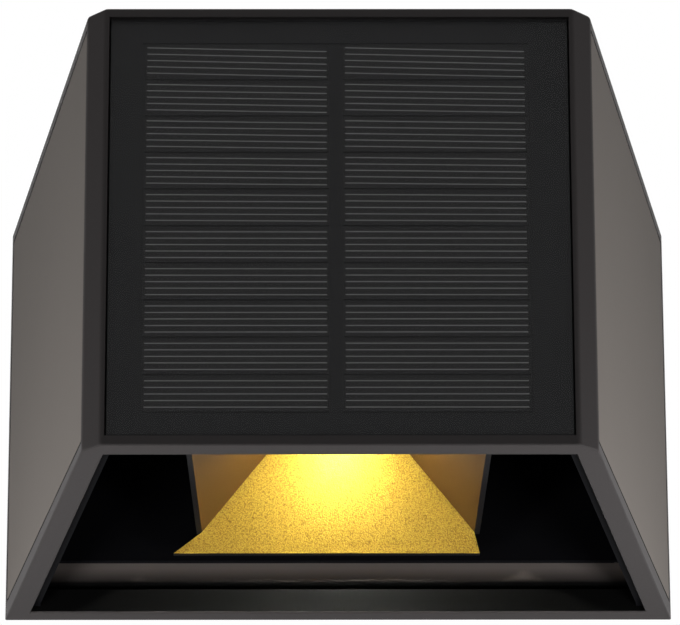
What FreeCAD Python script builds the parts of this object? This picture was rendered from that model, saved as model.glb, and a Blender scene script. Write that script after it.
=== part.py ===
import FreeCAD, Part
import os
from math import pi, tan

import Sketcher

# Solar fence light that hangs on two screws on a fence or wall. A wedge-shaped hood carries a
# square solar module on its front face and throws its light down and back through a gilt
# reflector. Millimetres. The origin is the centre of the back face, +X is to the right seen
# from the front, +Z is up, and the body stands out from the wall towards -Y. A "depth" is a
# distance from the wall, measured towards -Y.

doc = FreeCAD.newDocument("FenceLight")
sheet = doc.addObject("Spreadsheet::Sheet", "Sizes")

SIZES = (
    # hood
    ("back_width", 121.6, "width of the back face"),
    ("back_height", 78.7, "height of the back face"),
    ("body_depth", 90.5, "wall to front face"),
    ("front_width", 88.4, "width where the side faces meet the front bevels"),
    ("face_width", 82.0, "width of the flat front face"),
    ("bevel_depth", 3.0, "depth of the upright bevels beside the front face"),
    ("skirt_drop", 5.55, "how far the front edge hangs below the back edge"),
    ("side_wall", 4.0, "side wall, measured along X"),
    ("front_wall", 4.8, "front wall"),
    ("rear_wall", 4.25, "frame round the back cover"),
    ("top_wall", 3.0, "roof"),
    ("corner_radius", 1.2, "rounding of the upright corners"),
    ("edge_radius", 0.8, "rounding of the roof's edges"),
    ("rim_radius", 0.35, "rounding of the lower rim"),
    # side panels
    ("panel_thickness", 1.0, "side panel"),
    ("panel_gap", 0.35, "groove round a side panel"),
    ("panel_top_border", 2.4, "frame above a panel"),
    ("panel_rear_border", 1.2, "frame behind a panel"),
    ("panel_front_border", 0.5, "frame in front of a panel"),
    ("panel_rear_sill", 3.0, "frame under a panel at its back end"),
    ("panel_front_sill", 1.75, "frame under a panel at its front end"),
    # solar module
    ("module_size", 80.0, "side of the square solar module"),
    ("module_gap", 0.3, "gap round the module"),
    ("module_top_border", 1.85, "frame above the module's recess"),
    ("module_setback", 0.2, "how far the module lies below the front face"),
    ("module_cover", 1.2, "clear front sheet"),
    ("module_backing", 1.6, "backing board"),
    ("cell_thickness", 0.2, "solar cell"),
    ("adhesive_thickness", 0.2, "mounting tape"),
    ("adhesive_width", 7.0, "width of the mounting tape"),
    ("cell_length", 32.0, "length of a cell"),
    ("cell_height", 6.6, "height of a cell"),
    ("cell_pitch", 7.1, "cell to cell, up and down"),
    ("column_gap", 2.6, "gap between the two columns of cells"),
    ("column_shift", 0.6, "how far the columns lie left of the middle"),
    ("cell_margin", 4.7, "module's top edge to the first cell"),
    ("seal_clearance", 0.5, "gap between the cells and the edge seal"),
    # chamber liner
    ("chamber_height", 30.45, "back edge to the liner's ceiling"),
    ("liner_plate", 2.5, "ceiling of the liner"),
    ("liner_wall", 1.2, "skirts of the liner"),
    ("liner_gap", 0.3, "gap between liner and hood"),
    ("liner_rim_gap", 1.2, "how far the skirts stop above the rim"),
    ("liner_rear_lift", 9.4, "back edge to the lower edge of the rear skirt"),
    ("liner_screw_inset", 5.0, "liner screw to the side wall"),
    ("liner_screw_setback", 7.7, "front wall to the front pair of liner screws"),
    ("liner_screw_rear", 30.0, "depth of the rear pair of liner screws"),
    ("block_width", 6.4, "screw block in the hood"),
    ("block_height", 12.0, "height of a screw block"),
    # reflector
    ("mouth_lift", 13.25, "back edge to the reflector's mouth"),
    ("mouth_rear_depth", 10.0, "depth of the mouth's rear edge"),
    ("mouth_front_depth", 55.0, "depth of the mouth's front edge"),
    ("mouth_width", 49.6, "inside width of the mouth's rear edge"),
    ("reflector_taper", 0.0378, "growth of the half width with depth"),
    ("plate_lean", 8.15, "how far the rear plate leans forward up to the aperture"),
    ("aperture_width", 22.6, "inside width at the light source"),
    ("aperture_depth", 16.0, "front to back at the light source"),
    ("aperture_lip", 1.5, "lip that carries the light source's board"),
    ("reflector_wall", 1.0, "wall of the reflector"),
    ("apron_left", 30.0, "left corner of the apron to the middle plane"),
    ("apron_right", 25.8, "right corner of the apron to the middle plane"),
    ("apron_drop", 3.4, "height of the apron under the mouth"),
    ("ear_reach", 18.5, "reflector screw to the middle plane"),
    ("ear_radius", 3.4, "screw ear of the reflector"),
    ("ear_height", 5.0, "height of a screw ear"),
    # light source
    ("led_board_width", 26.0, "board, along X"),
    ("led_board_depth", 18.0, "board, along Y"),
    ("led_board_thickness", 1.6, "board"),
    ("led_board_gap", 0.15, "board to its pocket"),
    ("led_size", 5.0, "side of the light source"),
    ("led_height", 1.4, "height of the light source"),
    ("phosphor_radius", 1.9, "glowing disc"),
    ("phosphor_depth", 0.4, "thickness of the glowing disc"),
    # mode button and its switch
    ("button_inset", 13.3, "button to the side wall"),
    ("button_depth", 50.0, "depth of the button"),
    ("button_radius", 4.3, "stem of the button"),
    ("button_clearance", 0.3, "gap round the stem"),
    ("button_reach", 2.0, "how far the button stands out of the ceiling"),
    ("button_travel", 1.2, "travel of the button"),
    ("button_flange", 1.45, "width of the button's flange"),
    ("button_flange_height", 1.0, "height of the flange"),
    ("button_seat_gap", 0.15, "flange to the liner, at rest"),
    ("button_rounding", 0.8, "rounding of the button's end"),
    ("switch_size", 6.0, "side of the switch body"),
    ("switch_height", 3.5, "height of the switch body"),
    ("plunger_radius", 1.7, "plunger of the switch"),
    ("plunger_clearance", 0.1, "gap round the plunger"),
    ("plunger_bury", 1.2, "plunger inside the switch body"),
    # control board
    ("board_left", 16.0, "middle plane to the board's left edge"),
    ("board_inset", 2.9, "board's right front corner to the side wall"),
    ("board_rear", 34.0, "depth of the board's rear edge"),
    ("board_front", 68.0, "depth of the board's front edge"),
    ("board_thickness", 1.6, "control board"),
    ("standoff_height", 6.0, "liner to control board"),
    ("standoff_radius", 2.6, "standoff"),
    ("board_screw_inset", 3.2, "screw to the board's edges"),
    ("inductor_radius", 4.0, "charging inductor"),
    ("inductor_height", 4.5, "charging inductor"),
    ("capacitor_radius", 3.15, "smoothing capacitor"),
    ("capacitor_height", 7.0, "smoothing capacitor"),
    ("chip_width", 4.0, "driver chip"),
    ("chip_length", 5.0, "driver chip"),
    ("chip_height", 1.5, "driver chip"),
    # battery
    ("battery_radius", 9.2, "battery cell"),
    ("battery_length", 64.0, "battery cell without its nub"),
    ("nub_radius", 2.8, "positive end of the cell"),
    ("nub_length", 1.0, "positive end of the cell"),
    ("holder_floor", 1.5, "floor of the battery holder"),
    ("holder_wall", 1.4, "long walls of the holder"),
    ("holder_end", 1.6, "end walls of the holder"),
    ("holder_depth", 14.3, "height of the holder's walls off the cover"),
    ("holder_gap", 0.1, "gap between cell and holder"),
    ("holder_lift", 6.5, "height of the cell's axis above the back face's middle"),
    ("contact_thickness", 0.5, "contact plates"),
    ("contact_width", 9.0, "contact plates"),
    ("spring_length", 3.5, "battery spring, pressed"),
    ("spring_base", 4.0, "radius of the spring's base"),
    ("spring_tip", 2.6, "radius of the spring's tip"),
    ("spring_wall", 0.7, "thickness of the spring's wire"),
    ("tab_width", 3.0, "solder tabs"),
    ("tab_reach", 5.0, "solder tabs past the holder's wall"),
    ("holder_ear", 7.6, "screw ears at the holder's ends"),
    ("holder_ear_height", 9.0, "screw ears, up and down"),
    # back cover
    ("cover_thickness", 2.2, "back cover, flush with the back face"),
    ("cover_gap", 0.25, "gap round the cover"),
    ("cover_side_lip", 2.9, "hood's edge beside the cover"),
    ("cover_top_lip", 1.9, "hood's edge above the cover"),
    ("cover_low_lip", 2.6, "hood's edge under the cover"),
    ("window_top_border", 3.95, "roof's top to the rear window"),
    ("window_low_border", 4.35, "back edge to the rear window"),
    ("gasket_thickness", 0.6, "cover gasket, pressed"),
    ("gasket_gap", 0.1, "gap between gasket and hood's lip"),
    ("ledge_top", 9.95, "back edge to the top of the cover's ledge"),
    ("ledge_gap", 0.3, "ledge to the rear window's lower edge"),
    ("ledge_radius", 2.0, "rounding under the ledge"),
    ("cover_screw_inset", 3.6, "cover screw to the side wall"),
    ("cover_screw_sink", 0.3, "screw heads below the back face"),
    ("cover_screw_top", 9.35, "roof's top to the upper cover screws"),
    ("cover_screw_span", 27.0, "upper to lower cover screws"),
    ("cover_boss_radius", 3.2, "cover screw's boss"),
    ("cover_boss_length", 13.8, "cover screw's boss"),
    # keyholes for the two wall screws
    ("keyhole_span", 60.0, "between the two keyholes"),
    ("keyhole_lift", 24.0, "entry hole above the back face's middle"),
    ("keyhole_radius", 4.25, "entry hole"),
    ("keyhole_slot_radius", 2.2, "half width of the slot"),
    ("keyhole_rise", 5.0, "entry hole to the slot's end"),
    ("keyhole_room", 4.5, "depth behind a keyhole"),
    ("keyhole_wall", 1.2, "wall of the pocket behind a keyhole"),
    ("keyhole_margin", 0.3, "entry hole to the pocket's wall"),
    # screws
    ("screw_shank", 1.3, "shank radius of the larger screws"),
    ("screw_head", 2.4, "head radius of the larger screws"),
    ("screw_head_height", 1.2, "head height of the larger screws"),
    ("screw_length", 9.0, "length of the larger screws"),
    ("small_shank", 0.9, "shank radius of the small screws"),
    ("small_head", 1.9, "head radius of the small screws"),
    ("small_head_height", 1.1, "head height of the small screws"),
    ("small_screw_length", 5.0, "length of the small screws"),
    ("holder_screw_length", 2.9, "length of the battery holder's screws"),
    ("pilot_clearance", 0.03, "gap round a shank in its pilot hole"),
    ("pilot_room", 0.3, "pilot hole past the end of its screw"),
    ("hole_clearance", 0.3, "gap round a shank in a passing hole"),
    ("head_clearance", 0.3, "gap round a head in its seat"),
    ("drive_width", 0.6, "slot in a screw head"),
    ("drive_depth", 0.6, "slot in a screw head"),
    # leads
    ("lead_radius", 0.6, "insulated lead"),
    ("lead_spread", 1.5, "a pair's lead to the pair's middle"),
    ("solar_pad_inset", 3.5, "board's front edge to the solar leads"),
    ("led_pad_inset", 7.5, "board's rear edge to the light source's leads"),
    ("plus_pad_inset", 9.8, "board's rear edge to the battery's plus lead"),
    ("plus_pad_inset_x", 4.8, "board's left edge to the battery's plus lead"),
    ("minus_pad_inset", 5.5, "board's rear edge to the battery's minus lead"),
    ("minus_pad_inset_x", 10.5, "board's right edge to the battery's minus lead"),
    ("lead_hole_lift", 18.0, "height of the solar leads' hole"),
    ("lead_hole_radius", 3.2, "hole behind the solar module"),
    ("grommet_bore", 2.3, "bore of the grommet"),
    ("grommet_flange", 1.2, "width of the grommet's flange"),
    ("grommet_flange_height", 1.0, "height of the grommet's flange"),
    ("grommet_gap", 0.05, "gap between grommet and hole"),
)

for row, (alias, value, meaning) in enumerate(SIZES, start=1):
    sheet.set(f"A{row}", meaning)
    sheet.set(f"B{row}", str(value))
    sheet.setAlias(f"B{row}", alias)
doc.recompute()

CELL_ROWS = 10
AXES = {
    "x": FreeCAD.Rotation(FreeCAD.Vector(0, 1, 0), 90),
    "-x": FreeCAD.Rotation(FreeCAD.Vector(0, 1, 0), -90),
    "y": FreeCAD.Rotation(FreeCAD.Vector(1, 0, 0), -90),
    "-y": FreeCAD.Rotation(FreeCAD.Vector(1, 0, 0), 90),
    "z": FreeCAD.Rotation(),
    "-z": FreeCAD.Rotation(FreeCAD.Vector(1, 0, 0), 180),
}
NODES = []


class Size:
    """A length worked out from the sheet, as an expression's text and as its present value."""

    def __init__(self, text, value):
        self.text = text
        self.value = value

    def __add__(self, other):
        other = as_size(other)
        return Size(f"({self.text} + {other.text})", self.value + other.value)

    def __sub__(self, other):
        other = as_size(other)
        return Size(f"({self.text} - {other.text})", self.value - other.value)

    def __mul__(self, other):
        other = as_size(other)
        return Size(f"({self.text} * {other.text})", self.value * other.value)

    def __truediv__(self, other):
        other = as_size(other)
        return Size(f"({self.text} / {other.text})", self.value / other.value)

    def __neg__(self):
        return Size(f"(0 - {self.text})", -self.value)

    __radd__ = __add__
    __rmul__ = __mul__

    def __rsub__(self, other):
        return as_size(other) - self


class Sheet:
    """Reads the sheet's cells as sizes, by alias."""

    def __getattr__(self, alias):
        return Size(f"Sizes.{alias}", float(sheet.get(alias)))


def as_size(length):
    """A size as it is, or a plain number made into one."""
    if isinstance(length, Size):
        return length
    return Size(repr(float(length)), float(length))


s = Sheet()

# Levels and faces that several pieces share.
TOP = s.back_height / 2
LOW = -s.back_height / 2
SKIRT = LOW - s.skirt_drop
FRONT = -s.body_depth
SIDE_DEPTH = s.body_depth - s.bevel_depth
CEILING = LOW + s.chamber_height
LINER_TOP = CEILING + s.liner_plate
SEAT_DEPTH = s.cover_thickness + s.gasket_thickness
HEAD_SEAT = s.cover_screw_sink + s.screw_head_height
BOARD_LOW = LINER_TOP + s.standoff_height
BOARD_TOP = BOARD_LOW + s.board_thickness
MODULE_TOP = TOP - s.module_top_border - s.module_gap
BACKING_FACE = s.module_setback + s.module_cover + s.cell_thickness
RECESS_DEPTH = BACKING_FACE + s.module_backing + s.adhesive_thickness
APERTURE_Z = CEILING - s.led_board_thickness - s.aperture_lip
MOUTH_Z = LOW + s.mouth_lift
APERTURE_REAR = s.mouth_rear_depth + s.plate_lean
LED_DEPTH = APERTURE_REAR + s.aperture_depth / 2


def half_width(depth):
    """Half the hood's outer width at a depth."""
    return s.back_width / 2 - (s.back_width - s.front_width) / 2 * depth / SIDE_DEPTH


def inner_half(depth):
    """Half the hood's inner width at a depth."""
    return half_width(depth) - s.side_wall


def rim(depth):
    """Height of the sloping lower rim at a depth."""
    return LOW - s.skirt_drop * depth / s.body_depth


BUTTON_X = inner_half(s.button_depth) - s.button_inset
BOARD_RIGHT = inner_half(s.board_front) - s.board_inset

# Helpers: properties bound to the sheet, primitives, booleans and bodies.


def bind(item, prop, length):
    """Tie one property of an object to the sheet."""
    item.setExpression(prop, as_size(length).text)


def place(item, x, y, z):
    """Tie an object's position to the sheet."""
    for axis, length in zip("xyz", (x, y, z)):
        bind(item, f"Placement.Base.{axis}", length)


def box(name, x, y, z):
    """A box given by its low and high coordinate along each axis."""
    item = doc.addObject("Part::Box", name)
    for prop, (low, high) in zip(("Length", "Width", "Height"), (x, y, z)):
        bind(item, prop, as_size(high) - low)
    place(item, x[0], y[0], z[0])
    return item


def cylinder(name, radius, start, axis, length):
    """A cylinder that grows from a point along a signed axis."""
    item = doc.addObject("Part::Cylinder", name)
    item.Placement = FreeCAD.Placement(FreeCAD.Vector(), AXES[axis])
    bind(item, "Radius", radius)
    bind(item, "Height", length)
    place(item, *start)
    return item


def cone(name, radius, end_radius, start, axis, length):
    """A cone that grows from a point along a signed axis."""
    item = doc.addObject("Part::Cone", name)
    item.Placement = FreeCAD.Placement(FreeCAD.Vector(), AXES[axis])
    bind(item, "Radius1", radius)
    bind(item, "Radius2", end_radius)
    bind(item, "Height", length)
    place(item, *start)
    return item


def fuse(name, *pieces):
    """One solid out of several that overlap."""
    item = doc.addObject("Part::MultiFuse", name)
    item.Shapes = list(pieces)
    return item


def common(name, *pieces):
    """What several solids share."""
    item = doc.addObject("Part::MultiCommon", name)
    item.Shapes = list(pieces)
    return item


def cut(name, base, *tools):
    """A solid less one or more tools."""
    item = doc.addObject("Part::Cut", name)
    item.Base = base
    item.Tool = tools[0] if len(tools) == 1 else fuse(f"{name}_tools", *tools)
    return item


def group(name, *pieces):
    """Separate solids in one node."""
    item = doc.addObject("Part::Compound", name)
    item.Links = list(pieces)
    return item


def node(item, label):
    """Register a finished sub-part under the name of its file."""
    item.Label = label
    NODES.append(item)
    return item


def draw(sketch, corners):
    """Draw a closed outline in a sketch, every corner held by two bound distances."""
    points = [(as_size(x), as_size(y)) for x, y in corners]
    vectors = [FreeCAD.Vector(x.value, y.value, 0) for x, y in points]
    first = len(sketch.Geometry)
    count = len(points)
    for index in range(count):
        sketch.addGeometry(Part.LineSegment(vectors[index], vectors[(index + 1) % count]))
    for index in range(count):
        line = first + index
        following = first + (index + 1) % count
        sketch.addConstraint(Sketcher.Constraint("Coincident", line, 2, following, 1))
    for index, point in enumerate(points):
        for kind, length in zip(("DistanceX", "DistanceY"), point):
            rule = Sketcher.Constraint(kind, -1, 1, first + index, 1, length.value)
            bind(sketch, f"Constraints[{sketch.addConstraint(rule)}]", length)


def ring(sketch, x, y, radius):
    """Draw a circle in a sketch, its centre and radius bound."""
    x, y, radius = as_size(x), as_size(y), as_size(radius)
    centre = FreeCAD.Vector(x.value, y.value, 0)
    circle = sketch.addGeometry(Part.Circle(centre, FreeCAD.Vector(0, 0, 1), radius.value))
    for kind, length in zip(("DistanceX", "DistanceY"), (x, y)):
        rule = Sketcher.Constraint(kind, -1, 1, circle, 3, length.value)
        bind(sketch, f"Constraints[{sketch.addConstraint(rule)}]", length)
    rule = Sketcher.Constraint("Radius", circle, radius.value)
    bind(sketch, f"Constraints[{sketch.addConstraint(rule)}]", radius)


def body_sketch(body, name, plane, offset=0):
    """An empty sketch on an origin plane of a body, shifted along the plane's normal."""
    role = f"{plane}_Plane"
    support = [item for item in body.Origin.OriginFeatures if item.Role == role][0]
    sketch = body.newObject("Sketcher::SketchObject", name)
    sketch.AttachmentSupport = [(support, "")]
    sketch.MapMode = "FlatFace"
    bind(sketch, "AttachmentOffset.Base.z", offset)
    return sketch


def outline(body, name, plane, corners, offset=0):
    """A closed polygon on an origin plane of a body."""
    sketch = body_sketch(body, name, plane, offset)
    draw(sketch, corners)
    return sketch


def extrude(body, kind, name, sketch, length, away=False, both=False):
    """Pad or pocket a sketch, and see that the solid grew or shrank."""
    doc.recompute()
    before = body.Shape.Volume if body.Tip else 0.0
    feature = body.newObject(f"PartDesign::{kind}", name)
    feature.Profile = sketch
    feature.Reversed = away
    feature.SideType = "Symmetric" if both else "One side"
    bind(feature, "Length", length)
    doc.recompute()
    grew = feature.Shape.Volume - before
    if (grew > 0) != (kind == "Pad") or abs(grew) < 1e-6:
        raise RuntimeError(f"{name} changed the volume by {grew}")
    return feature


def pad(body, name, sketch, length, **sides):
    """Add a sketch's prism to a body."""
    return extrude(body, "Pad", name, sketch, length, **sides)


def pocket(body, name, sketch, length, **sides):
    """Cut a sketch's prism out of a body."""
    return extrude(body, "Pocket", name, sketch, length, **sides)


def round_edges(body, name, radius, chosen):
    """Fillet the edges of a body's last feature that a test picks."""
    doc.recompute()
    base = body.Tip
    edges = [f"Edge{i}" for i, edge in enumerate(base.Shape.Edges, start=1) if chosen(edge)]
    if not edges:
        raise RuntimeError(f"{name} found no edge")
    feature = body.newObject("PartDesign::Fillet", name)
    feature.Base = (base, edges)
    bind(feature, "Radius", radius)
    doc.recompute()
    return feature


def mirrored_corners(*corners):
    """Corners on the +X side, followed by their mirror images, as one closed outline."""
    return list(corners) + [(-as_size(x), y) for x, y in reversed(corners)]


def rectangle(x, y):
    """Corners of a rectangle given by its low and high coordinate along each axis."""
    return [(x[0], y[0]), (x[1], y[0]), (x[1], y[1]), (x[0], y[1])]


def is_upright(edge):
    """True for a straight edge along Z."""
    if len(edge.Vertexes) < 2:
        return False
    start, end = (vertex.Point for vertex in edge.Vertexes)
    return abs(start.x - end.x) < 1e-4 and abs(start.y - end.y) < 1e-4


def is_level(edge, height):
    """True for an edge that lies at one height."""
    return all(abs(vertex.Z - height.value) < 1e-4 for vertex in edge.Vertexes)


def reaches_depth(edge, depth):
    """True for an edge whose every end is at least so far from the wall."""
    return all(-vertex.Y > depth.value - 1e-4 for vertex in edge.Vertexes)


def lies_on_rim(edge):
    """True for an edge that lies in the sloping plane of the lower rim."""
    return all(abs(vertex.Z - rim(-vertex.Y).value) < 1e-3 for vertex in edge.Vertexes)


def screws(name, spots, axis, shank, head, head_height, length):
    """Slotted pan-head screws, their shanks growing along an axis from the heads' seats."""
    away = {"x": "-x", "-x": "x", "y": "-y", "-y": "y", "z": "-z", "-z": "z"}[axis]
    lane = "xyz".index(axis[-1])
    sign = -1 if axis.startswith("-") else 1
    pieces = []
    for index, spot in enumerate(spots):
        tag = f"{name}_{index}"
        cap = cylinder(f"{tag}_head", head, spot, away, head_height)
        stem = cylinder(f"{tag}_shank", shank, spot, axis, length)
        far = as_size(spot[lane]) - sign * head_height
        near = far + sign * s.drive_depth
        slot = [(as_size(spot[i]) - s.drive_width / 2, spot[i] + s.drive_width / 2) for i in range(3)]
        slot[(lane + 1) % 3] = (spot[(lane + 1) % 3] - head, spot[(lane + 1) % 3] + head)
        slot[lane] = (far, near) if sign > 0 else (near, far)
        pieces.append(cut(tag, fuse(f"{tag}_blank", cap, stem), box(f"{tag}_slot", *slot)))
    return node(group(name, *pieces), name)


# Hood


def liner_screw_spots(height):
    """Where the four liner screws stand."""
    return [
        (side * (inner_half(depth) - s.liner_screw_inset), -depth, height)
        for depth in (s.body_depth - s.front_wall - s.liner_screw_setback, s.liner_screw_rear)
        for side in (1, -1)
    ]


def cover_screw_spots(depth):
    """Where the four cover screws stand."""
    reach = inner_half(s.rear_wall) - s.cover_screw_inset
    upper = TOP - s.cover_screw_top
    return [
        (side * reach, -depth, height)
        for height in (upper, upper - s.cover_screw_span)
        for side in (1, -1)
    ]


def build_shell_body():
    """The hood's block with its chamber, rear window, cover seat and module recess."""
    body = doc.addObject("PartDesign::Body", "ShellBody")
    plan = mirrored_corners(
        (s.back_width / 2, 0),
        (s.front_width / 2, -SIDE_DEPTH),
        (s.face_width / 2, FRONT),
    )
    pad(body, "ShellBlock", outline(body, "ShellPlan", "XY", plan, SKIRT), TOP - SKIRT)
    below = [
        (s.body_depth, LOW),
        (0, LOW),
        (FRONT, SKIRT),
        (FRONT - s.body_depth, SKIRT),
        (FRONT - s.body_depth, SKIRT - s.body_depth),
        (s.body_depth, SKIRT - s.body_depth),
    ]
    slope = outline(body, "RimSlopeSide", "YZ", below)
    pocket(body, "RimSlope", slope, s.back_width * 2, both=True)
    round_edges(body, "FrontCorners", s.corner_radius,
                lambda edge: is_upright(edge) and reaches_depth(edge, SIDE_DEPTH))
    round_edges(body, "RoofEdges", s.edge_radius, lambda edge: is_level(edge, TOP))
    chamber = mirrored_corners(
        (inner_half(s.rear_wall), -s.rear_wall),
        (inner_half(s.body_depth - s.front_wall), FRONT + s.front_wall),
    )
    sketch = outline(body, "ChamberPlan", "XY", chamber, TOP - s.top_wall)
    pocket(body, "Chamber", sketch, TOP - SKIRT)
    window = inner_half(s.rear_wall)
    sketch = outline(body, "WindowOutline", "XZ", rectangle(
        (-window, window), (LOW + s.window_low_border, TOP - s.window_top_border)))
    pocket(body, "RearWindow", sketch, s.rear_wall, away=True)
    seat = s.back_width / 2 - s.cover_side_lip
    sketch = outline(body, "SeatOutline", "XZ", rectangle(
        (-seat, seat), (LOW + s.cover_low_lip, TOP - s.cover_top_lip)))
    pocket(body, "CoverSeat", sketch, SEAT_DEPTH, away=True)
    recess = s.module_size / 2 + s.module_gap
    middle = MODULE_TOP - s.module_size / 2
    sketch = outline(body, "RecessOutline", "XZ", rectangle(
        (-recess, recess), (middle - recess, middle + recess)), s.body_depth)
    pocket(body, "ModuleRecess", sketch, RECESS_DEPTH)
    sketch = body_sketch(body, "LeadHoleOutline", "XZ", s.body_depth)
    ring(sketch, 0, s.lead_hole_lift, s.lead_hole_radius)
    pocket(body, "LeadHole", sketch, s.front_wall)
    round_edges(body, "RimEdges", s.rim_radius, lies_on_rim)
    return body


def side_slab(name, side, inset, overshoot):
    """The plate-shaped space of a side panel's recess, drawn in on every side by an inset."""
    rear = s.panel_rear_border + inset
    front = SIDE_DEPTH - s.panel_front_border - inset
    plan_body = doc.addObject("PartDesign::Body", f"{name}_plan_body")
    plan = [
        (side * (half_width(rear) + overshoot), -rear),
        (side * (half_width(front) + overshoot), -front),
        (side * (half_width(front) - s.panel_thickness), -front),
        (side * (half_width(rear) - s.panel_thickness), -rear),
    ]
    sketch = outline(plan_body, f"{name}_plan", "XY", plan, SKIRT)
    pad(plan_body, f"{name}_strip", sketch, TOP - SKIRT)
    side_body = doc.addObject("PartDesign::Body", f"{name}_side_body")
    profile = [
        (-rear, TOP - s.panel_top_border - inset),
        (-front, TOP - s.panel_top_border - inset),
        (-front, rim(front) + s.panel_front_sill + inset),
        (-rear, rim(rear) + s.panel_rear_sill + inset),
    ]
    sketch = outline(side_body, f"{name}_side", "YZ", profile)
    pad(side_body, f"{name}_profile", sketch, s.back_width, away=side < 0)
    return common(name, plan_body, side_body)


def build_housing_shell():
    """The hood with its screw blocks and bosses and the recesses of its side panels."""
    blocks = []
    holes = []
    for index, (x, y, z) in enumerate(liner_screw_spots(LINER_TOP)):
        side = 1 if index % 2 == 0 else -1
        reach = x + side * (s.liner_screw_inset + s.side_wall / 2)
        edge = x - side * s.block_width / 2
        span = (edge, reach) if side > 0 else (reach, edge)
        blocks.append(box(f"liner_block_{index}", span,
                          (y - s.block_width / 2, y + s.block_width / 2),
                          (z, z + s.block_height)))
        holes.append(cylinder(f"liner_pilot_{index}", s.screw_shank + s.pilot_clearance,
                              (x, y, z), "z", s.screw_length - s.liner_plate + s.pilot_room))
    for index, spot in enumerate(cover_screw_spots(s.cover_thickness)):
        blocks.append(cylinder(f"cover_boss_{index}", s.cover_boss_radius, spot, "-y",
                               s.cover_boss_length))
        holes.append(cylinder(f"cover_pilot_{index}", s.screw_shank + s.pilot_clearance,
                              spot, "-y", s.screw_length - s.cover_thickness + HEAD_SEAT
                              + s.pilot_room))
    recesses = [
        side_slab("right_recess", 1, 0, s.panel_thickness),
        side_slab("left_recess", -1, 0, s.panel_thickness),
    ]
    solid = fuse("shell_solid", build_shell_body(), *blocks)
    node(cut("shell", solid, *recesses, *holes), "housing_shell")


def build_side_panels():
    """The two flat panels that fill the side faces, flush with the frame."""
    node(side_slab("right_panel", 1, s.panel_gap, 0), "right_side_panel")
    node(side_slab("left_panel", -1, s.panel_gap, 0), "left_side_panel")


# Solar module


def module_layer(name, rise, thickness, margin=0):
    """A square sheet of the module; its back lies a rise in front of the recess's floor."""
    half = s.module_size / 2 - margin
    middle = MODULE_TOP - s.module_size / 2
    back = FRONT + RECESS_DEPTH - rise
    return box(name, (-half, half), (back - thickness, back), (middle - half, middle + half))


def build_solar_module():
    """Mounting tape, backing board, cells, edge seal and clear front sheet."""
    tape = module_layer("tape_sheet", 0, s.adhesive_thickness)
    hole = module_layer("tape_hole", 0, s.adhesive_thickness, s.adhesive_width)
    node(cut("tape", tape, hole), "module_tape")
    rise = s.adhesive_thickness
    node(module_layer("backing", rise, s.module_backing), "module_backing_board")
    rise = rise + s.module_backing
    cells = []
    back = FRONT + RECESS_DEPTH - rise
    for column in (-1, 1):
        near = column * s.column_gap / 2 - s.column_shift
        far = near + column * s.cell_length
        span = (near, far) if column > 0 else (far, near)
        for index in range(CELL_ROWS):
            top = MODULE_TOP - s.cell_margin - index * s.cell_pitch
            cells.append(box(f"cell_{column + 1}_{index}", span,
                             (back - s.cell_thickness, back), (top - s.cell_height, top)))
    node(group("cells", *cells), "solar_cells")
    seal = module_layer("seal_sheet", rise, s.cell_thickness)
    reach = s.column_gap / 2 + s.cell_length + s.seal_clearance
    field_top = MODULE_TOP - s.cell_margin + s.seal_clearance
    field_low = field_top - (CELL_ROWS - 1) * s.cell_pitch - s.cell_height - 2 * s.seal_clearance
    field = box("seal_field", (-reach - s.column_shift, reach - s.column_shift),
                (back - s.cell_thickness, back), (field_low, field_top))
    node(cut("seal", seal, field), "module_edge_seal")
    rise = rise + s.cell_thickness
    node(module_layer("front_sheet", rise, s.module_cover), "module_front_sheet")


def build_grommet():
    """Rubber grommet where the solar leads pass the front wall."""
    outer = s.lead_hole_radius - s.grommet_gap
    floor = FRONT + RECESS_DEPTH
    inside = FRONT + s.front_wall
    sleeve = cylinder("grommet_sleeve", outer, (0, floor, s.lead_hole_lift), "y",
                      s.front_wall - RECESS_DEPTH)
    flange = cylinder("grommet_flange", outer + s.grommet_flange, (0, inside, s.lead_hole_lift),
                      "y", s.grommet_flange_height)
    bore = cylinder("grommet_bore", s.grommet_bore, (0, floor, s.lead_hole_lift), "y",
                    s.front_wall - RECESS_DEPTH + s.grommet_flange_height)
    node(cut("grommet", fuse("grommet_blank", sleeve, flange), bore), "lead_grommet")


# Chamber liner


def liner_half(depth):
    """Half the liner's outer width at a depth."""
    return inner_half(depth) - s.liner_gap


def board_spots(height):
    """Where the control board's four screws stand."""
    return [
        (x, -depth, height)
        for x in (s.board_screw_inset - s.board_left, BOARD_RIGHT - s.board_screw_inset)
        for depth in (s.board_rear + s.board_screw_inset, s.board_front - s.board_screw_inset)
    ]


def reflector_spots(height):
    """Where the reflector's two screws stand."""
    return [(side * s.ear_reach, -LED_DEPTH, height) for side in (1, -1)]


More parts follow.
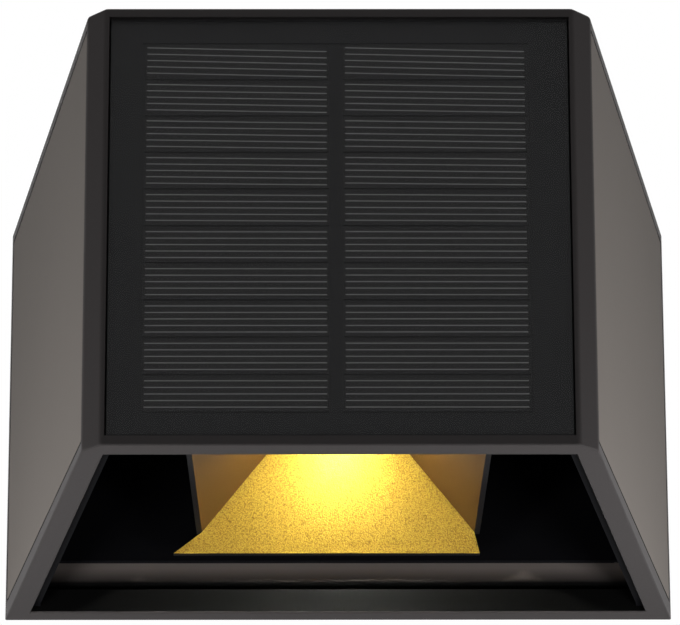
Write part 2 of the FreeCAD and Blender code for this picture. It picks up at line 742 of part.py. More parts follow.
def build_liner_body():
    """The liner's ceiling and skirts, the skirts cut along the sloping rim."""
    body = doc.addObject("PartDesign::Body", "LinerBody")
    rear = s.rear_wall + s.liner_gap
    front = s.body_depth - s.front_wall - s.liner_gap
    plan = mirrored_corners((liner_half(rear), -rear), (liner_half(front), -front))
    pad(body, "LinerBlock", outline(body, "LinerPlan", "XY", plan, SKIRT), LINER_TOP - SKIRT)
    below = [
        (s.body_depth, LOW + s.liner_rim_gap),
        (0, LOW + s.liner_rim_gap),
        (FRONT, SKIRT + s.liner_rim_gap),
        (FRONT - s.body_depth, SKIRT + s.liner_rim_gap),
        (FRONT - s.body_depth, SKIRT - s.body_depth),
        (s.body_depth, SKIRT - s.body_depth),
    ]
    slope = outline(body, "LinerSlopeSide", "YZ", below)
    pocket(body, "LinerSlope", slope, s.back_width * 2, both=True)
    rear_inside = rear + s.liner_wall
    front_inside = front - s.liner_wall
    hollow = mirrored_corners(
        (liner_half(rear_inside) - s.liner_wall, -rear_inside),
        (liner_half(front_inside) - s.liner_wall, -front_inside),
    )
    sketch = outline(body, "LinerHollowPlan", "XY", hollow, CEILING)
    pocket(body, "LinerHollow", sketch, TOP - SKIRT)
    gate = liner_half(rear_inside) - s.liner_wall
    sketch = outline(body, "RearGateOutline", "XZ", rectangle(
        (-gate, gate), (SKIRT, LOW + s.liner_rear_lift)), rear)
    pocket(body, "RearGate", sketch, s.liner_wall, away=True)
    return body


def build_liner():
    """The liner with the control board's standoffs and its holes."""
    posts = []
    holes = []
    for index, spot in enumerate(board_spots(LINER_TOP)):
        posts.append(cylinder(f"standoff_{index}", s.standoff_radius, spot, "z",
                              s.standoff_height))
        holes.append(cylinder(f"standoff_pilot_{index}", s.small_shank + s.pilot_clearance,
                              (spot[0], spot[1], BOARD_LOW), "-z",
                              s.small_screw_length - s.board_thickness + s.pilot_room))
    for index, spot in enumerate(liner_screw_spots(CEILING)):
        holes.append(cylinder(f"liner_hole_{index}", s.screw_shank + s.hole_clearance, spot, "z",
                              s.liner_plate))
    for index, spot in enumerate(reflector_spots(CEILING)):
        holes.append(cylinder(f"ear_hole_{index}", s.small_shank + s.hole_clearance, spot, "z",
                              s.liner_plate))
    holes.append(cylinder("button_hole", s.button_radius + s.button_clearance,
                          (BUTTON_X, -s.button_depth, CEILING), "z", s.liner_plate))
    window = s.led_board_width / 4
    window_depth = s.led_board_depth / 4
    holes.append(box("led_window", (-window, window),
                     (-LED_DEPTH - window_depth, -LED_DEPTH + window_depth),
                     (CEILING, LINER_TOP)))
    solid = fuse("liner_solid", build_liner_body(), *posts)
    node(cut("liner", solid, *holes), "chamber_liner")


# Reflector and light source


def mouth_half(depth):
    """Half the funnel's inside width at the mouth, which grows slowly with depth."""
    return s.mouth_width / 2 + s.reflector_taper * (depth - s.mouth_rear_depth)


def aperture_half(depth):
    """Half the funnel's inside width at the aperture, which grows as the mouth's does."""
    return s.aperture_width / 2 + s.reflector_taper * (depth - APERTURE_REAR)


def funnel(body, name, kind, grow):
    """Loft the four-sided funnel from mouth to aperture, grown outward by a wall."""
    rear = s.mouth_rear_depth - grow
    front = s.mouth_front_depth + grow
    mouth = mirrored_corners((mouth_half(rear) + grow, -rear), (mouth_half(front) + grow, -front))
    rear = APERTURE_REAR - grow
    front = APERTURE_REAR + s.aperture_depth + grow
    aperture = mirrored_corners(
        (aperture_half(rear) + grow, -rear),
        (aperture_half(front) + grow, -front),
    )
    low = outline(body, f"{name}Mouth", "XY", mouth, MOUTH_Z)
    high = outline(body, f"{name}Aperture", "XY", aperture, APERTURE_Z)
    doc.recompute()
    loft = body.newObject(f"PartDesign::{kind}Loft", name)
    loft.Profile = low
    loft.Sections = [high]
    loft.Ruled = True
    doc.recompute()
    return loft


def apron_corners(shift):
    """Side view of the apron, which carries the rear plate on below the mouth."""
    lean = s.plate_lean / (APERTURE_Z - MOUTH_Z) * s.apron_drop
    foot = -(s.mouth_rear_depth - lean)
    return [
        (-s.mouth_rear_depth, MOUTH_Z),
        (foot, MOUTH_Z - s.apron_drop),
        (foot + shift, MOUTH_Z - s.apron_drop),
        (shift - s.mouth_rear_depth, MOUTH_Z),
    ]


def build_apron():
    """The flared apron below the mouth: its side view and its front view in common."""
    side_body = doc.addObject("PartDesign::Body", "ApronSideBody")
    sketch = outline(side_body, "ApronSide", "YZ", apron_corners(s.reflector_wall))
    pad(side_body, "ApronPlate", sketch, (s.apron_left + s.apron_right) * 2, both=True)
    face_body = doc.addObject("PartDesign::Body", "ApronFaceBody")
    face = [
        (-s.mouth_width / 2, MOUTH_Z),
        (-s.apron_left, MOUTH_Z - s.apron_drop),
        (s.apron_right, MOUTH_Z - s.apron_drop),
        (s.mouth_width / 2, MOUTH_Z),
    ]
    sketch = outline(face_body, "ApronFace", "XZ", face)
    pad(face_body, "ApronSpan", sketch, s.mouth_rear_depth * 2)
    return common("apron", side_body, face_body)


def build_reflector():
    """Gilt funnel with a collar round the light source's board and two screw ears."""
    body = doc.addObject("PartDesign::Body", "ReflectorBody")
    funnel(body, "FunnelOutside", "Additive", s.reflector_wall)
    collar = s.led_board_width / 2 + s.led_board_gap + s.reflector_wall
    collar_depth = s.led_board_depth / 2 + s.led_board_gap + s.reflector_wall
    span = rectangle((-collar, collar), (-LED_DEPTH - collar_depth, -LED_DEPTH + collar_depth))
    pad(body, "Collar", outline(body, "CollarPlan", "XY", span, APERTURE_Z), CEILING - APERTURE_Z)
    funnel(body, "FunnelInside", "Subtractive", 0)
    light = s.aperture_width / 2
    light_depth = s.aperture_depth / 2
    sketch = outline(body, "AperturePlan", "XY", rectangle(
        (-light, light), (-LED_DEPTH - light_depth, -LED_DEPTH + light_depth)), APERTURE_Z)
    pocket(body, "Aperture", sketch, s.aperture_lip, away=True)
    room = s.led_board_width / 2 + s.led_board_gap
    room_depth = s.led_board_depth / 2 + s.led_board_gap
    sketch = outline(body, "BoardPocketPlan", "XY", rectangle(
        (-room, room), (-LED_DEPTH - room_depth, -LED_DEPTH + room_depth)), CEILING)
    pocket(body, "BoardPocket", sketch, s.led_board_thickness)
    pieces = [body, build_apron()]
    holes = []
    for index, (x, y, z) in enumerate(reflector_spots(CEILING)):
        side = 1 if index == 0 else -1
        pieces.append(cylinder(f"ear_{index}", s.ear_radius, (x, y, z), "-z", s.ear_height))
        arm = (side * (collar - s.reflector_wall), x)
        pieces.append(box(f"ear_arm_{index}", arm if side > 0 else (arm[1], arm[0]),
                          (y - s.ear_radius, y + s.ear_radius), (APERTURE_Z, CEILING)))
        holes.append(cylinder(f"ear_pilot_{index}", s.small_shank + s.pilot_clearance,
                              (x, y, z), "-z",
                              s.small_screw_length - s.liner_plate + s.pilot_room))
    node(cut("reflector_part", fuse("reflector_solid", *pieces), *holes), "reflector")


def build_light_source():
    """The board that the collar clamps to the liner, the light source and its glowing disc."""
    half = s.led_board_width / 2
    half_depth = s.led_board_depth / 2
    low = CEILING - s.led_board_thickness
    node(box("led_plate", (-half, half), (-LED_DEPTH - half_depth, -LED_DEPTH + half_depth),
             (low, CEILING)), "led_board")
    half = s.led_size / 2
    frame = box("led_block", (-half, half), (-LED_DEPTH - half, -LED_DEPTH + half),
                (low - s.led_height, low))
    foot = (0, -LED_DEPTH, low - s.led_height)
    seat = cylinder("led_seat", s.phosphor_radius, foot, "z", s.phosphor_depth)
    node(cut("led_frame", frame, seat), "led_package")
    disc = cylinder("led_disc", s.phosphor_radius, foot, "z", s.phosphor_depth)
    node(disc, "led_phosphor")


# Mode button


def build_button():
    """Button that slides up into the switch, with the plunger that moves with it."""
    low = CEILING - s.button_reach
    flange = LINER_TOP + s.button_seat_gap
    flange_top = flange + s.button_flange_height
    body = doc.addObject("PartDesign::Body", "ButtonBody")
    sketch = body_sketch(body, "StemPlan", "XY", low)
    ring(sketch, BUTTON_X, -s.button_depth, s.button_radius)
    pad(body, "Stem", sketch, flange - low)
    round_edges(body, "StemEnd", s.button_rounding, lambda edge: is_level(edge, low))
    sketch = body_sketch(body, "FlangePlan", "XY", flange)
    ring(sketch, BUTTON_X, -s.button_depth, s.button_radius + s.button_flange)
    pad(body, "Flange", sketch, s.button_flange_height)
    node(body, "mode_button")
    foot = (BUTTON_X, -s.button_depth, flange_top)
    low = BOARD_LOW - s.switch_height
    node(cylinder("plunger", s.plunger_radius, foot, "z", low - flange_top + s.plunger_bury),
         "switch_plunger")
    half = s.switch_size / 2
    block = box("switch_block", (BUTTON_X - half, BUTTON_X + half),
                (-s.button_depth - half, -s.button_depth + half), (low, BOARD_LOW))
    bore = cylinder("switch_bore", s.plunger_radius + s.plunger_clearance,
                    (BUTTON_X, -s.button_depth, low), "z",
                    s.plunger_bury + s.button_travel + s.plunger_clearance)
    node(cut("switch", block, bore), "switch_body")


# Control board


def build_control_board():
    """Board on the liner's standoffs, with its chip, inductor and capacitor."""
    plate = box("board_plate", (-s.board_left, BOARD_RIGHT), (-s.board_front, -s.board_rear),
                (BOARD_LOW, BOARD_TOP))
    holes = [
        cylinder(f"board_hole_{index}", s.small_shank + s.hole_clearance, spot, "z",
                 s.board_thickness)
        for index, spot in enumerate(board_spots(BOARD_LOW))
    ]
    node(cut("board", plate, *holes), "control_board")
    middle = (s.board_rear + s.board_front) / 2
    node(box("chip", (-s.chip_length / 2, s.chip_length / 2),
             (-middle - s.chip_width / 2, -middle + s.chip_width / 2),
             (BOARD_TOP, BOARD_TOP + s.chip_height)), "driver_chip")
    spacing = BOARD_RIGHT / 2
    node(cylinder("inductor", s.inductor_radius, (spacing, -middle, BOARD_TOP), "z",
                  s.inductor_height), "charging_inductor")
    row = s.board_front - s.board_screw_inset - s.capacitor_radius
    node(cylinder("capacitor", s.capacitor_radius, (spacing, -row, BOARD_TOP), "z",
                  s.capacitor_height), "smoothing_capacitor")


# Battery


HOLDER_HALF = (s.battery_length + s.nub_length + s.spring_length + 2 * s.contact_thickness) / 2
CELL_AXIS_DEPTH = s.cover_thickness + s.holder_floor + s.holder_gap + s.battery_radius


def holder_spots(depth):
    """Where the battery holder's two screws stand."""
    reach = HOLDER_HALF + s.holder_end + s.holder_ear / 2
    return [(side * reach, -depth, s.holder_lift) for side in (1, -1)]


def build_battery_holder():
    """Open tray for the cell, screwed to the back cover by an ear at each end."""
    half = HOLDER_HALF + s.holder_end
    rise = s.battery_radius + s.holder_gap
    low = s.holder_lift - rise
    high = s.holder_lift + rise
    floor = s.cover_thickness + s.holder_floor
    face = s.cover_thickness + s.holder_depth
    tray = box("tray", (-half, half), (-face, -s.cover_thickness),
               (low - s.holder_wall, high + s.holder_wall))
    room = box("tray_room", (-HOLDER_HALF, HOLDER_HALF), (-face, -floor), (low, high))
    ears = box("tray_ears", (-half - s.holder_ear, half + s.holder_ear), (-floor, -s.cover_thickness),
               (s.holder_lift - s.holder_ear_height / 2, s.holder_lift + s.holder_ear_height / 2))
    holes = [
        cylinder(f"tray_hole_{index}", s.small_shank + s.hole_clearance, spot, "-y",
                 s.holder_floor)
        for index, spot in enumerate(holder_spots(s.cover_thickness))
    ]
    node(cut("holder", fuse("tray_solid", cut("tray_open", tray, room), ears), *holes),
         "battery_holder")


def contact(name, x):
    """A contact plate with the solder tab that stands out of the tray."""
    span = (x, x + s.contact_thickness)
    floor = s.cover_thickness + s.holder_floor
    face = s.cover_thickness + s.holder_depth
    plate = box(f"{name}_plate", span, (-face, -floor),
                (s.holder_lift - s.contact_width / 2, s.holder_lift + s.contact_width / 2))
    tab = box(f"{name}_tab", span, (-face - s.tab_reach, -floor),
              (s.holder_lift - s.tab_width / 2, s.holder_lift + s.tab_width / 2))
    return fuse(name, plate, tab)


def build_battery():
    """The cell between a flat contact at its nub and a spring contact at its base."""
    left = -HOLDER_HALF + s.contact_thickness
    axis = (-CELL_AXIS_DEPTH, s.holder_lift)
    nub = cylinder("cell_nub", s.nub_radius, (left, *axis), "x", s.nub_length)
    can = cylinder("cell_can", s.battery_radius, (left + s.nub_length, *axis), "x",
                   s.battery_length)
    node(fuse("cell", nub, can), "battery_cell")
    node(contact("plus_contact", -HOLDER_HALF), "battery_plus_contact")
    node(contact("minus_contact", HOLDER_HALF - s.contact_thickness), "battery_minus_contact")
    base = HOLDER_HALF - s.contact_thickness
    outer = cone("spring_outside", s.spring_base, s.spring_tip, (base, *axis), "-x",
                 s.spring_length)
    inner = cone("spring_inside", s.spring_base - s.spring_wall, s.spring_tip - s.spring_wall,
                 (base, *axis), "-x", s.spring_length)
    node(cut("spring", outer, inner), "battery_spring")


# Back cover


def keyhole_pocket(shrink):
    """Half width and lower and upper edge of the pocket behind a keyhole."""
    reach = s.keyhole_radius + s.keyhole_margin + s.keyhole_wall - shrink
    return reach, s.keyhole_lift - reach, s.keyhole_lift + s.keyhole_rise + reach


def build_cover_body():
    """Cover plate with its ledge and the closed pockets behind its keyholes."""
    body = doc.addObject("PartDesign::Body", "CoverBody")
    half = s.back_width / 2 - s.cover_side_lip - s.cover_gap
    plate = rectangle((-half, half), (LOW + s.cover_low_lip + s.cover_gap,
                                      TOP - s.cover_top_lip - s.cover_gap))
    pad(body, "CoverPlate", outline(body, "CoverOutline", "XZ", plate),
        s.cover_thickness)
    reach = inner_half(s.rear_wall) - s.cover_gap
    ledge_low = LOW + s.window_low_border + s.ledge_gap
    sketch = outline(body, "LedgeOutline", "XZ", rectangle(
        (-reach, reach), (ledge_low, LOW + s.ledge_top)), s.cover_thickness)
    pad(body, "Ledge", sketch, s.rear_wall - s.cover_thickness)
    round_edges(body, "LedgeEdge", s.ledge_radius,
                lambda edge: is_level(edge, ledge_low) and reaches_depth(edge, s.rear_wall))
    for side in (1, -1):
        tag = "Right" if side > 0 else "Left"
        middle = side * s.keyhole_span / 2
        reach, low, high = keyhole_pocket(0)
        sketch = outline(body, f"{tag}PocketOutline", "XZ", rectangle(
            (middle - reach, middle + reach), (low, high)), s.cover_thickness)
        pad(body, f"{tag}PocketBlock", sketch, s.keyhole_room + s.keyhole_wall)
    for side in (1, -1):
        tag = "Right" if side > 0 else "Left"
        middle = side * s.keyhole_span / 2
        reach, low, high = keyhole_pocket(s.keyhole_wall)
        sketch = outline(body, f"{tag}RoomOutline", "XZ", rectangle(
            (middle - reach, middle + reach), (low, high)), s.cover_thickness)
        pocket(body, f"{tag}Room", sketch, s.keyhole_room, away=True)
    return body


def build_back_cover():
    """The cover with its keyholes, screw seats and the battery holder's pilot holes."""
    holes = []
    for index, side in enumerate((1, -1)):
        middle = side * s.keyhole_span / 2
        holes.append(cylinder(f"keyhole_entry_{index}", s.keyhole_radius,
                              (middle, 0, s.keyhole_lift), "-y", s.cover_thickness))
        holes.append(cylinder(f"keyhole_end_{index}", s.keyhole_slot_radius,
                              (middle, 0, s.keyhole_lift + s.keyhole_rise), "-y",
                              s.cover_thickness))
        holes.append(box(f"keyhole_slot_{index}",
                         (middle - s.keyhole_slot_radius, middle + s.keyhole_slot_radius),
                         (-s.cover_thickness, 0),
                         (s.keyhole_lift, s.keyhole_lift + s.keyhole_rise)))
    for index, spot in enumerate(cover_screw_spots(0)):
        holes.append(cylinder(f"cover_hole_{index}", s.screw_shank + s.hole_clearance, spot,
                              "-y", s.cover_thickness))
        holes.append(cylinder(f"cover_seat_{index}", s.screw_head + s.head_clearance, spot,
                              "-y", HEAD_SEAT))
    thread = s.holder_screw_length - s.holder_floor + s.pilot_room
    for index, spot in enumerate(holder_spots(s.cover_thickness)):
        holes.append(cylinder(f"holder_pilot_{index}", s.small_shank + s.pilot_clearance, spot,
                              "y", thread))
    node(cut("cover", build_cover_body(), *holes), "back_cover")


def build_gasket():
    """Flat rubber gasket between the hood's seat and the cover."""
    half = s.back_width / 2 - s.cover_side_lip - s.gasket_gap
    sheet_box = box("gasket_sheet", (-half, half), (-SEAT_DEPTH, -s.cover_thickness),
                    (LOW + s.cover_low_lip + s.gasket_gap, TOP - s.cover_top_lip - s.gasket_gap))
    window = inner_half(s.rear_wall)
    hole = box("gasket_window", (-window, window), (-SEAT_DEPTH, -s.cover_thickness),
               (LOW + s.window_low_border, TOP - s.window_top_border))
    node(cut("gasket", sheet_box, hole), "cover_gasket")


# Screws


def build_screws():
    """The screws of the liner, the cover, the reflector, the board and the battery holder."""
    large = (s.screw_shank, s.screw_head, s.screw_head_height)
    small = (s.small_shank, s.small_head, s.small_head_height)
    screws("liner_screws", liner_screw_spots(CEILING), "z", *large, s.screw_length)
    screws("cover_screws", cover_screw_spots(HEAD_SEAT), "-y", *large,
           s.screw_length)
    screws("reflector_screws", reflector_spots(LINER_TOP), "-z", *small, s.small_screw_length)
    screws("board_screws", board_spots(BOARD_TOP), "-z", *small, s.small_screw_length)
    floor = s.cover_thickness + s.holder_floor
    screws("holder_screws", holder_spots(floor), "y", *small, s.holder_screw_length)


# Leads


def lead(name, points):
    """A round lead along straight runs joined by tangent arcs, each as large as its runs allow."""
    corners = [FreeCAD.Vector(*[as_size(value).value for value in point]) for point in points]
    radius = s.lead_radius.value
    edges = []
    bends = []
    start = corners[0]
    for before, corner, after in zip(corners, corners[1:], corners[2:]):
        reach = 0.45 * min((corner - before).Length, (after - corner).Length)
        inward = (corner - before).normalize()
        outward = (after - corner).normalize()
        bend = reach / tan(inward.getAngle(outward) / 2)
        inside = (outward - inward).normalize()
        middle = corner + inside * ((reach ** 2 + bend ** 2) ** 0.5 - bend)
        first = corner - inward * reach
        last = corner + outward * reach
        edges.append(Part.LineSegment(start, first).toShape())
        edges.append(Part.Arc(first, middle, last).toShape())
        bends.append(bend)
        start = last
    edges.append(Part.LineSegment(start, corners[-1]).toShape())
    path = Part.Wire(edges)
    section = Part.Wire(Part.makeCircle(radius, corners[0], corners[1] - corners[0]))
    solid = path.makePipeShell([section], True, False)
    share = solid.Volume / (pi * radius ** 2 * path.Length)
    print(f"{name}: bend radii {[round(bend, 1) for bend in bends]} mm, volume ratio {share:.4f}")
    if abs(share - 1) > 0.01:
        raise RuntimeError(f"{name} is not a sound tube")
    item = doc.addObject("Part::Feature", name)
    item.Shape = solid
    return item


def route(start, end, shares):
    """A lead's points: its two ends, and between them shares of the way along X, Y and Z."""
    between = [
        tuple(as_size(a) + (as_size(b) - a) * share for a, b, share in zip(start, end, point))
        for point in shares
    ]
    return [start, *between, end]


SOLAR_ROUTE = [(0, 0.32, 0), (0, 0.65, 0.18), (0, 0.913, 0.45), (0, 1, 0.73)]
LIGHT_ROUTE = [(0, 0, 0.68), (0, 0.22, 1.48), (0, 0.71, 1.77), (0, 1, 1.48)]
PLUS_ROUTE = [
    (0, 0.27, 0),
    (0.15, 0.55, -0.28),
    (0.43, 0.75, -0.43),
    (0.71, 0.885, -0.34),
    (0.927, 0.97, -0.075),
    (1, 1, 0.49),
]
MINUS_ROUTE = [(0, 0.32, 0), (0.3, 0.65, -0.2), (0.78, 0.883, -0.1), (1, 1, 0.415)]


def build_leads():
    """Leads from the light source, the solar module and the battery to the control board."""
    solar = []
    light = []
    start = FRONT + BACKING_FACE + s.module_backing
    for index, x in enumerate((-s.lead_spread, s.lead_spread)):
        ends = (x, start, s.lead_hole_lift), (x, s.solar_pad_inset - s.board_front, BOARD_TOP)
        solar.append(lead(f"solar_lead_{index}", route(*ends, SOLAR_ROUTE)))
        ends = (x, -LED_DEPTH, CEILING), (x, -s.board_rear - s.led_pad_inset, BOARD_TOP)
        light.append(lead(f"led_lead_{index}", route(*ends, LIGHT_ROUTE)))
    node(group("solar_pair", *solar), "solar_leads")
    node(group("led_pair", *light), "led_leads")
    tab = HOLDER_HALF - s.contact_thickness / 2
    face = -(s.cover_thickness + s.holder_depth + s.tab_reach)
    start = (-tab, face, s.holder_lift)
    end = (s.plus_pad_inset_x - s.board_left, -s.board_rear - s.plus_pad_inset, BOARD_TOP)
    plus = lead("plus_lead", route(start, end, PLUS_ROUTE))
    start = (tab, face, s.holder_lift)
    end = (BOARD_RIGHT - s.minus_pad_inset_x, -s.board_rear - s.minus_pad_inset, BOARD_TOP)
    minus = lead("minus_lead", route(start, end, MINUS_ROUTE))
    node(group("battery_pair", plus, minus), "battery_leads")


def check_and_export():
    """See that every object is sound, then write one file for each sub-part."""
    doc.recompute()
    for item in doc.Objects:
        if {"Invalid", "Error"} & set(item.State):
            raise RuntimeError(f"{item.Label} failed: {item.State}")
    os.makedirs("parts", exist_ok=True)
    for item in NODES:
        if item.Shape.isNull() or not item.Shape.isValid():
            raise RuntimeError(f"{item.Label} has no valid shape")
        item.Shape.exportStep(f"parts/{item.Label}.step")
        print(f"{item.Label}: {len(item.Shape.Solids)} solid(s), {item.Shape.Volume:.1f} mm3")


build_housing_shell()
build_side_panels()
build_solar_module()
build_grommet()
build_liner()
build_reflector()
build_light_source()
build_button()
build_control_board()
build_battery_holder()
build_battery()
build_back_cover()
build_gasket()
build_screws()
build_leads()
check_and_export()
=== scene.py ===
"""Finishes, detail pieces, studio and camera of a solar fence light.

Lengths are written in millimetres and turned to metres where a mesh or a node needs them. The
origin is the middle of the back face, +X is to the right seen from the front, +Z is up, and
the light stands out from the wall towards -Y.
"""

import logging
import math
from collections.abc import Mapping, Sequence
from dataclasses import dataclass, field
from enum import Enum

import bpy
import numpy as np
from mathutils import Matrix, Vector


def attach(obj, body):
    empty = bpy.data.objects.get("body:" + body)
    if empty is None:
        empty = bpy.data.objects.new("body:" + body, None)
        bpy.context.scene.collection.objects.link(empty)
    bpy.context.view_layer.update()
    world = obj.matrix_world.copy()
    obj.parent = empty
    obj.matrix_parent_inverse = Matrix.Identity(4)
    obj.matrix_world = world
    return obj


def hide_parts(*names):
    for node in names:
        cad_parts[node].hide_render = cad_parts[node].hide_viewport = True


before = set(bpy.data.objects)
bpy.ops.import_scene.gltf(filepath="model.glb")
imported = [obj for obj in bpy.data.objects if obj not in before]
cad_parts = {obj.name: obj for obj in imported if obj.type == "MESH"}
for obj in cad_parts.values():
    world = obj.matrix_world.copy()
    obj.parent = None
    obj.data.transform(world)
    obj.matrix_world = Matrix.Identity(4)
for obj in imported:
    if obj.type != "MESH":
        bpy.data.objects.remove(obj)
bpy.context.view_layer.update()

LOG = logging.getLogger("fence_light")
MM = 0.001
RING_STEPS = 6
Array = np.ndarray
NodeInput = bpy.types.NodeSocket | float | int | Sequence[float]


class Body(Enum):
    """The two bodies of the light: all that hangs on the wall, and the button that slides."""

    LAMP = "lamp"
    BUTTON = "button"


class Side(Enum):
    """The two sides of the light, as the sign of X."""

    LEFT = -1
    RIGHT = 1


# Nodes and colours


def linear(code: str) -> tuple[float, float, float, float]:
    """Turn an sRGB hex colour into linear light.

    Each channel c is c / 12.92 below 0.04045, and ((c + 0.055) / 1.055) ^ 2.4 above it.

    Args:
        code: The colour as "#rrggbb".

    Returns:
        Red, green and blue in linear light, and an alpha of 1.
    """
    channels = [int(code[i : i + 2], 16) / 255 for i in (1, 3, 5)]
    light = [c / 12.92 if c <= 0.04045 else ((c + 0.055) / 1.055) ** 2.4 for c in channels]
    return (light[0], light[1], light[2], 1.0)


def add_node(
    tree: bpy.types.NodeTree,
    kind: str,
    inputs: Mapping[str | int, NodeInput] | None = None,
    **settings: object,
) -> bpy.types.Node:
    """Add a node with its settings, and link or fill its inputs.

    Args:
        tree: The node tree that takes the node.
        kind: The node's type name.
        inputs: Input socket, by name or number, to an output socket or a plain value.
        **settings: Properties of the node itself.

    Returns:
        The new node.
    """
    node = tree.nodes.new(kind)
    for name, value in settings.items():
        setattr(node, name, value)
    for socket, source in (inputs or {}).items():
        target = node.inputs[socket]
        if isinstance(source, bpy.types.NodeSocket):
            tree.links.new(source, target)
        else:
            target.default_value = source
    return node


def new_material(name: str) -> tuple[bpy.types.Material, bpy.types.NodeTree]:
    """Make an empty node material.

    Args:
        name: The material's name.

    Returns:
        The material and its empty tree.
    """
    material = bpy.data.materials.new(name)
    material.use_nodes = True
    material.node_tree.nodes.clear()
    return material, material.node_tree


def close_material(tree: bpy.types.NodeTree, shader: bpy.types.NodeSocket) -> None:
    """Link a shader to the tree's output."""
    add_node(tree, "ShaderNodeOutputMaterial", {"Surface": shader})


def object_coordinates(tree: bpy.types.NodeTree) -> bpy.types.NodeSocket:
    """Give the piece's own coordinates, which are the light's, in metres."""
    return add_node(tree, "ShaderNodeTexCoord").outputs["Object"]


# Finishes


@dataclass(frozen=True)
class MouldedPlastic:
    """Injection-moulded ABS with a spark-eroded grain: dull, with a soft sheen at low angles.

    The colour wanders a little over centimetres, as a pigmented moulding's does, and the
    grain is a fine bump that breaks up reflections. Below a height, on faces in front of a
    given depth, it may be painted dark as painted shade.
    """

    name: str
    colour: str
    roughness: float = 0.5
    # A real grain is about 0.1 mm wide; it is drawn coarser, so that it shows in the render.
    grain_mm: float = 0.35
    grain_depth_mm: float = 0.012
    cloud_mm: float = 28.0
    cloud_share: float = 0.1
    specular: float = 0.2
    # Painted shade: this dark colour and the three lengths after it paint shade on inner faces below a
    # height.
    dark: str = "#030303"
    painted_shade_below_mm: float = -1000.0
    painted_shade_in_front_mm: float = -1.0
    fade_mm: float = 1.4
    sheen_spread: float = 0.06

    def material(self) -> bpy.types.Material:
        """Build the node material.

        Returns:
            The material, its grain scaled from its real width.
        """
        material, tree = new_material(self.name)
        place = object_coordinates(tree)
        cloud = add_node(
            tree, "ShaderNodeTexNoise", {"Vector": place, "Scale": 1 / (self.cloud_mm * MM), "Detail": 3.0}
        )
        base = linear(self.colour)
        low = tuple(c * (1 - self.cloud_share) for c in base[:3]) + (1.0,)
        high = tuple(min(1.0, c * (1 + self.cloud_share)) for c in base[:3]) + (1.0,)
        colour = add_node(
            tree, "ShaderNodeMixRGB", {"Fac": cloud.outputs["Fac"], "Color1": low, "Color2": high}
        )
        # Painted shade: below the given height, on faces in front of the given depth, the colour fades into
        # the dark colour.
        if self.painted_shade_below_mm > -1000.0:
            axes = add_node(tree, "ShaderNodeSeparateXYZ", {"Vector": place})
            below = add_node(
                tree,
                "ShaderNodeMapRange",
                {
                    "Value": axes.outputs["Z"],
                    "From Min": (self.painted_shade_below_mm - self.fade_mm) * MM,
                    "From Max": (self.painted_shade_below_mm + self.fade_mm) * MM,
                    "To Min": 1.0,
                    "To Max": 0.0,
                },
            )
            inside = add_node(
                tree,
                "ShaderNodeMath",
                {0: axes.outputs["Y"], 1: self.painted_shade_in_front_mm * MM},
                operation="LESS_THAN",
            )
            painted_shade_mask = add_node(
                tree,
                "ShaderNodeMath",
                {0: below.outputs["Result"], 1: inside.outputs["Value"]},
                operation="MULTIPLY",
            )
            colour = add_node(
                tree,
                "ShaderNodeMixRGB",
                {
                    "Fac": painted_shade_mask.outputs["Value"],
                    "Color1": colour.outputs["Color"],
                    "Color2": linear(self.dark),
                },
            )
        grain = add_node(
            tree,
            "ShaderNodeTexNoise",
            {"Vector": place, "Scale": 1 / (self.grain_mm * MM), "Detail": 2.0},
        )
        sheen = add_node(
            tree,
            "ShaderNodeMapRange",
            {
                "Value": grain.outputs["Fac"],
                "To Min": self.roughness - self.sheen_spread,
                "To Max": self.roughness + self.sheen_spread,
            },
        )
        bump = add_node(
            tree,
            "ShaderNodeBump",
            {"Height": grain.outputs["Fac"], "Distance": self.grain_depth_mm * MM, "Strength": 1.0},
        )
        shader = add_node(
            tree,
            "ShaderNodeBsdfPrincipled",
            {
                "Base Color": colour.outputs["Color"],
                "Roughness": sheen.outputs["Result"],
                "Specular IOR Level": self.specular,
                "Normal": bump.outputs["Normal"],
            },
        )
        close_material(tree, shader.outputs["BSDF"])
        return material


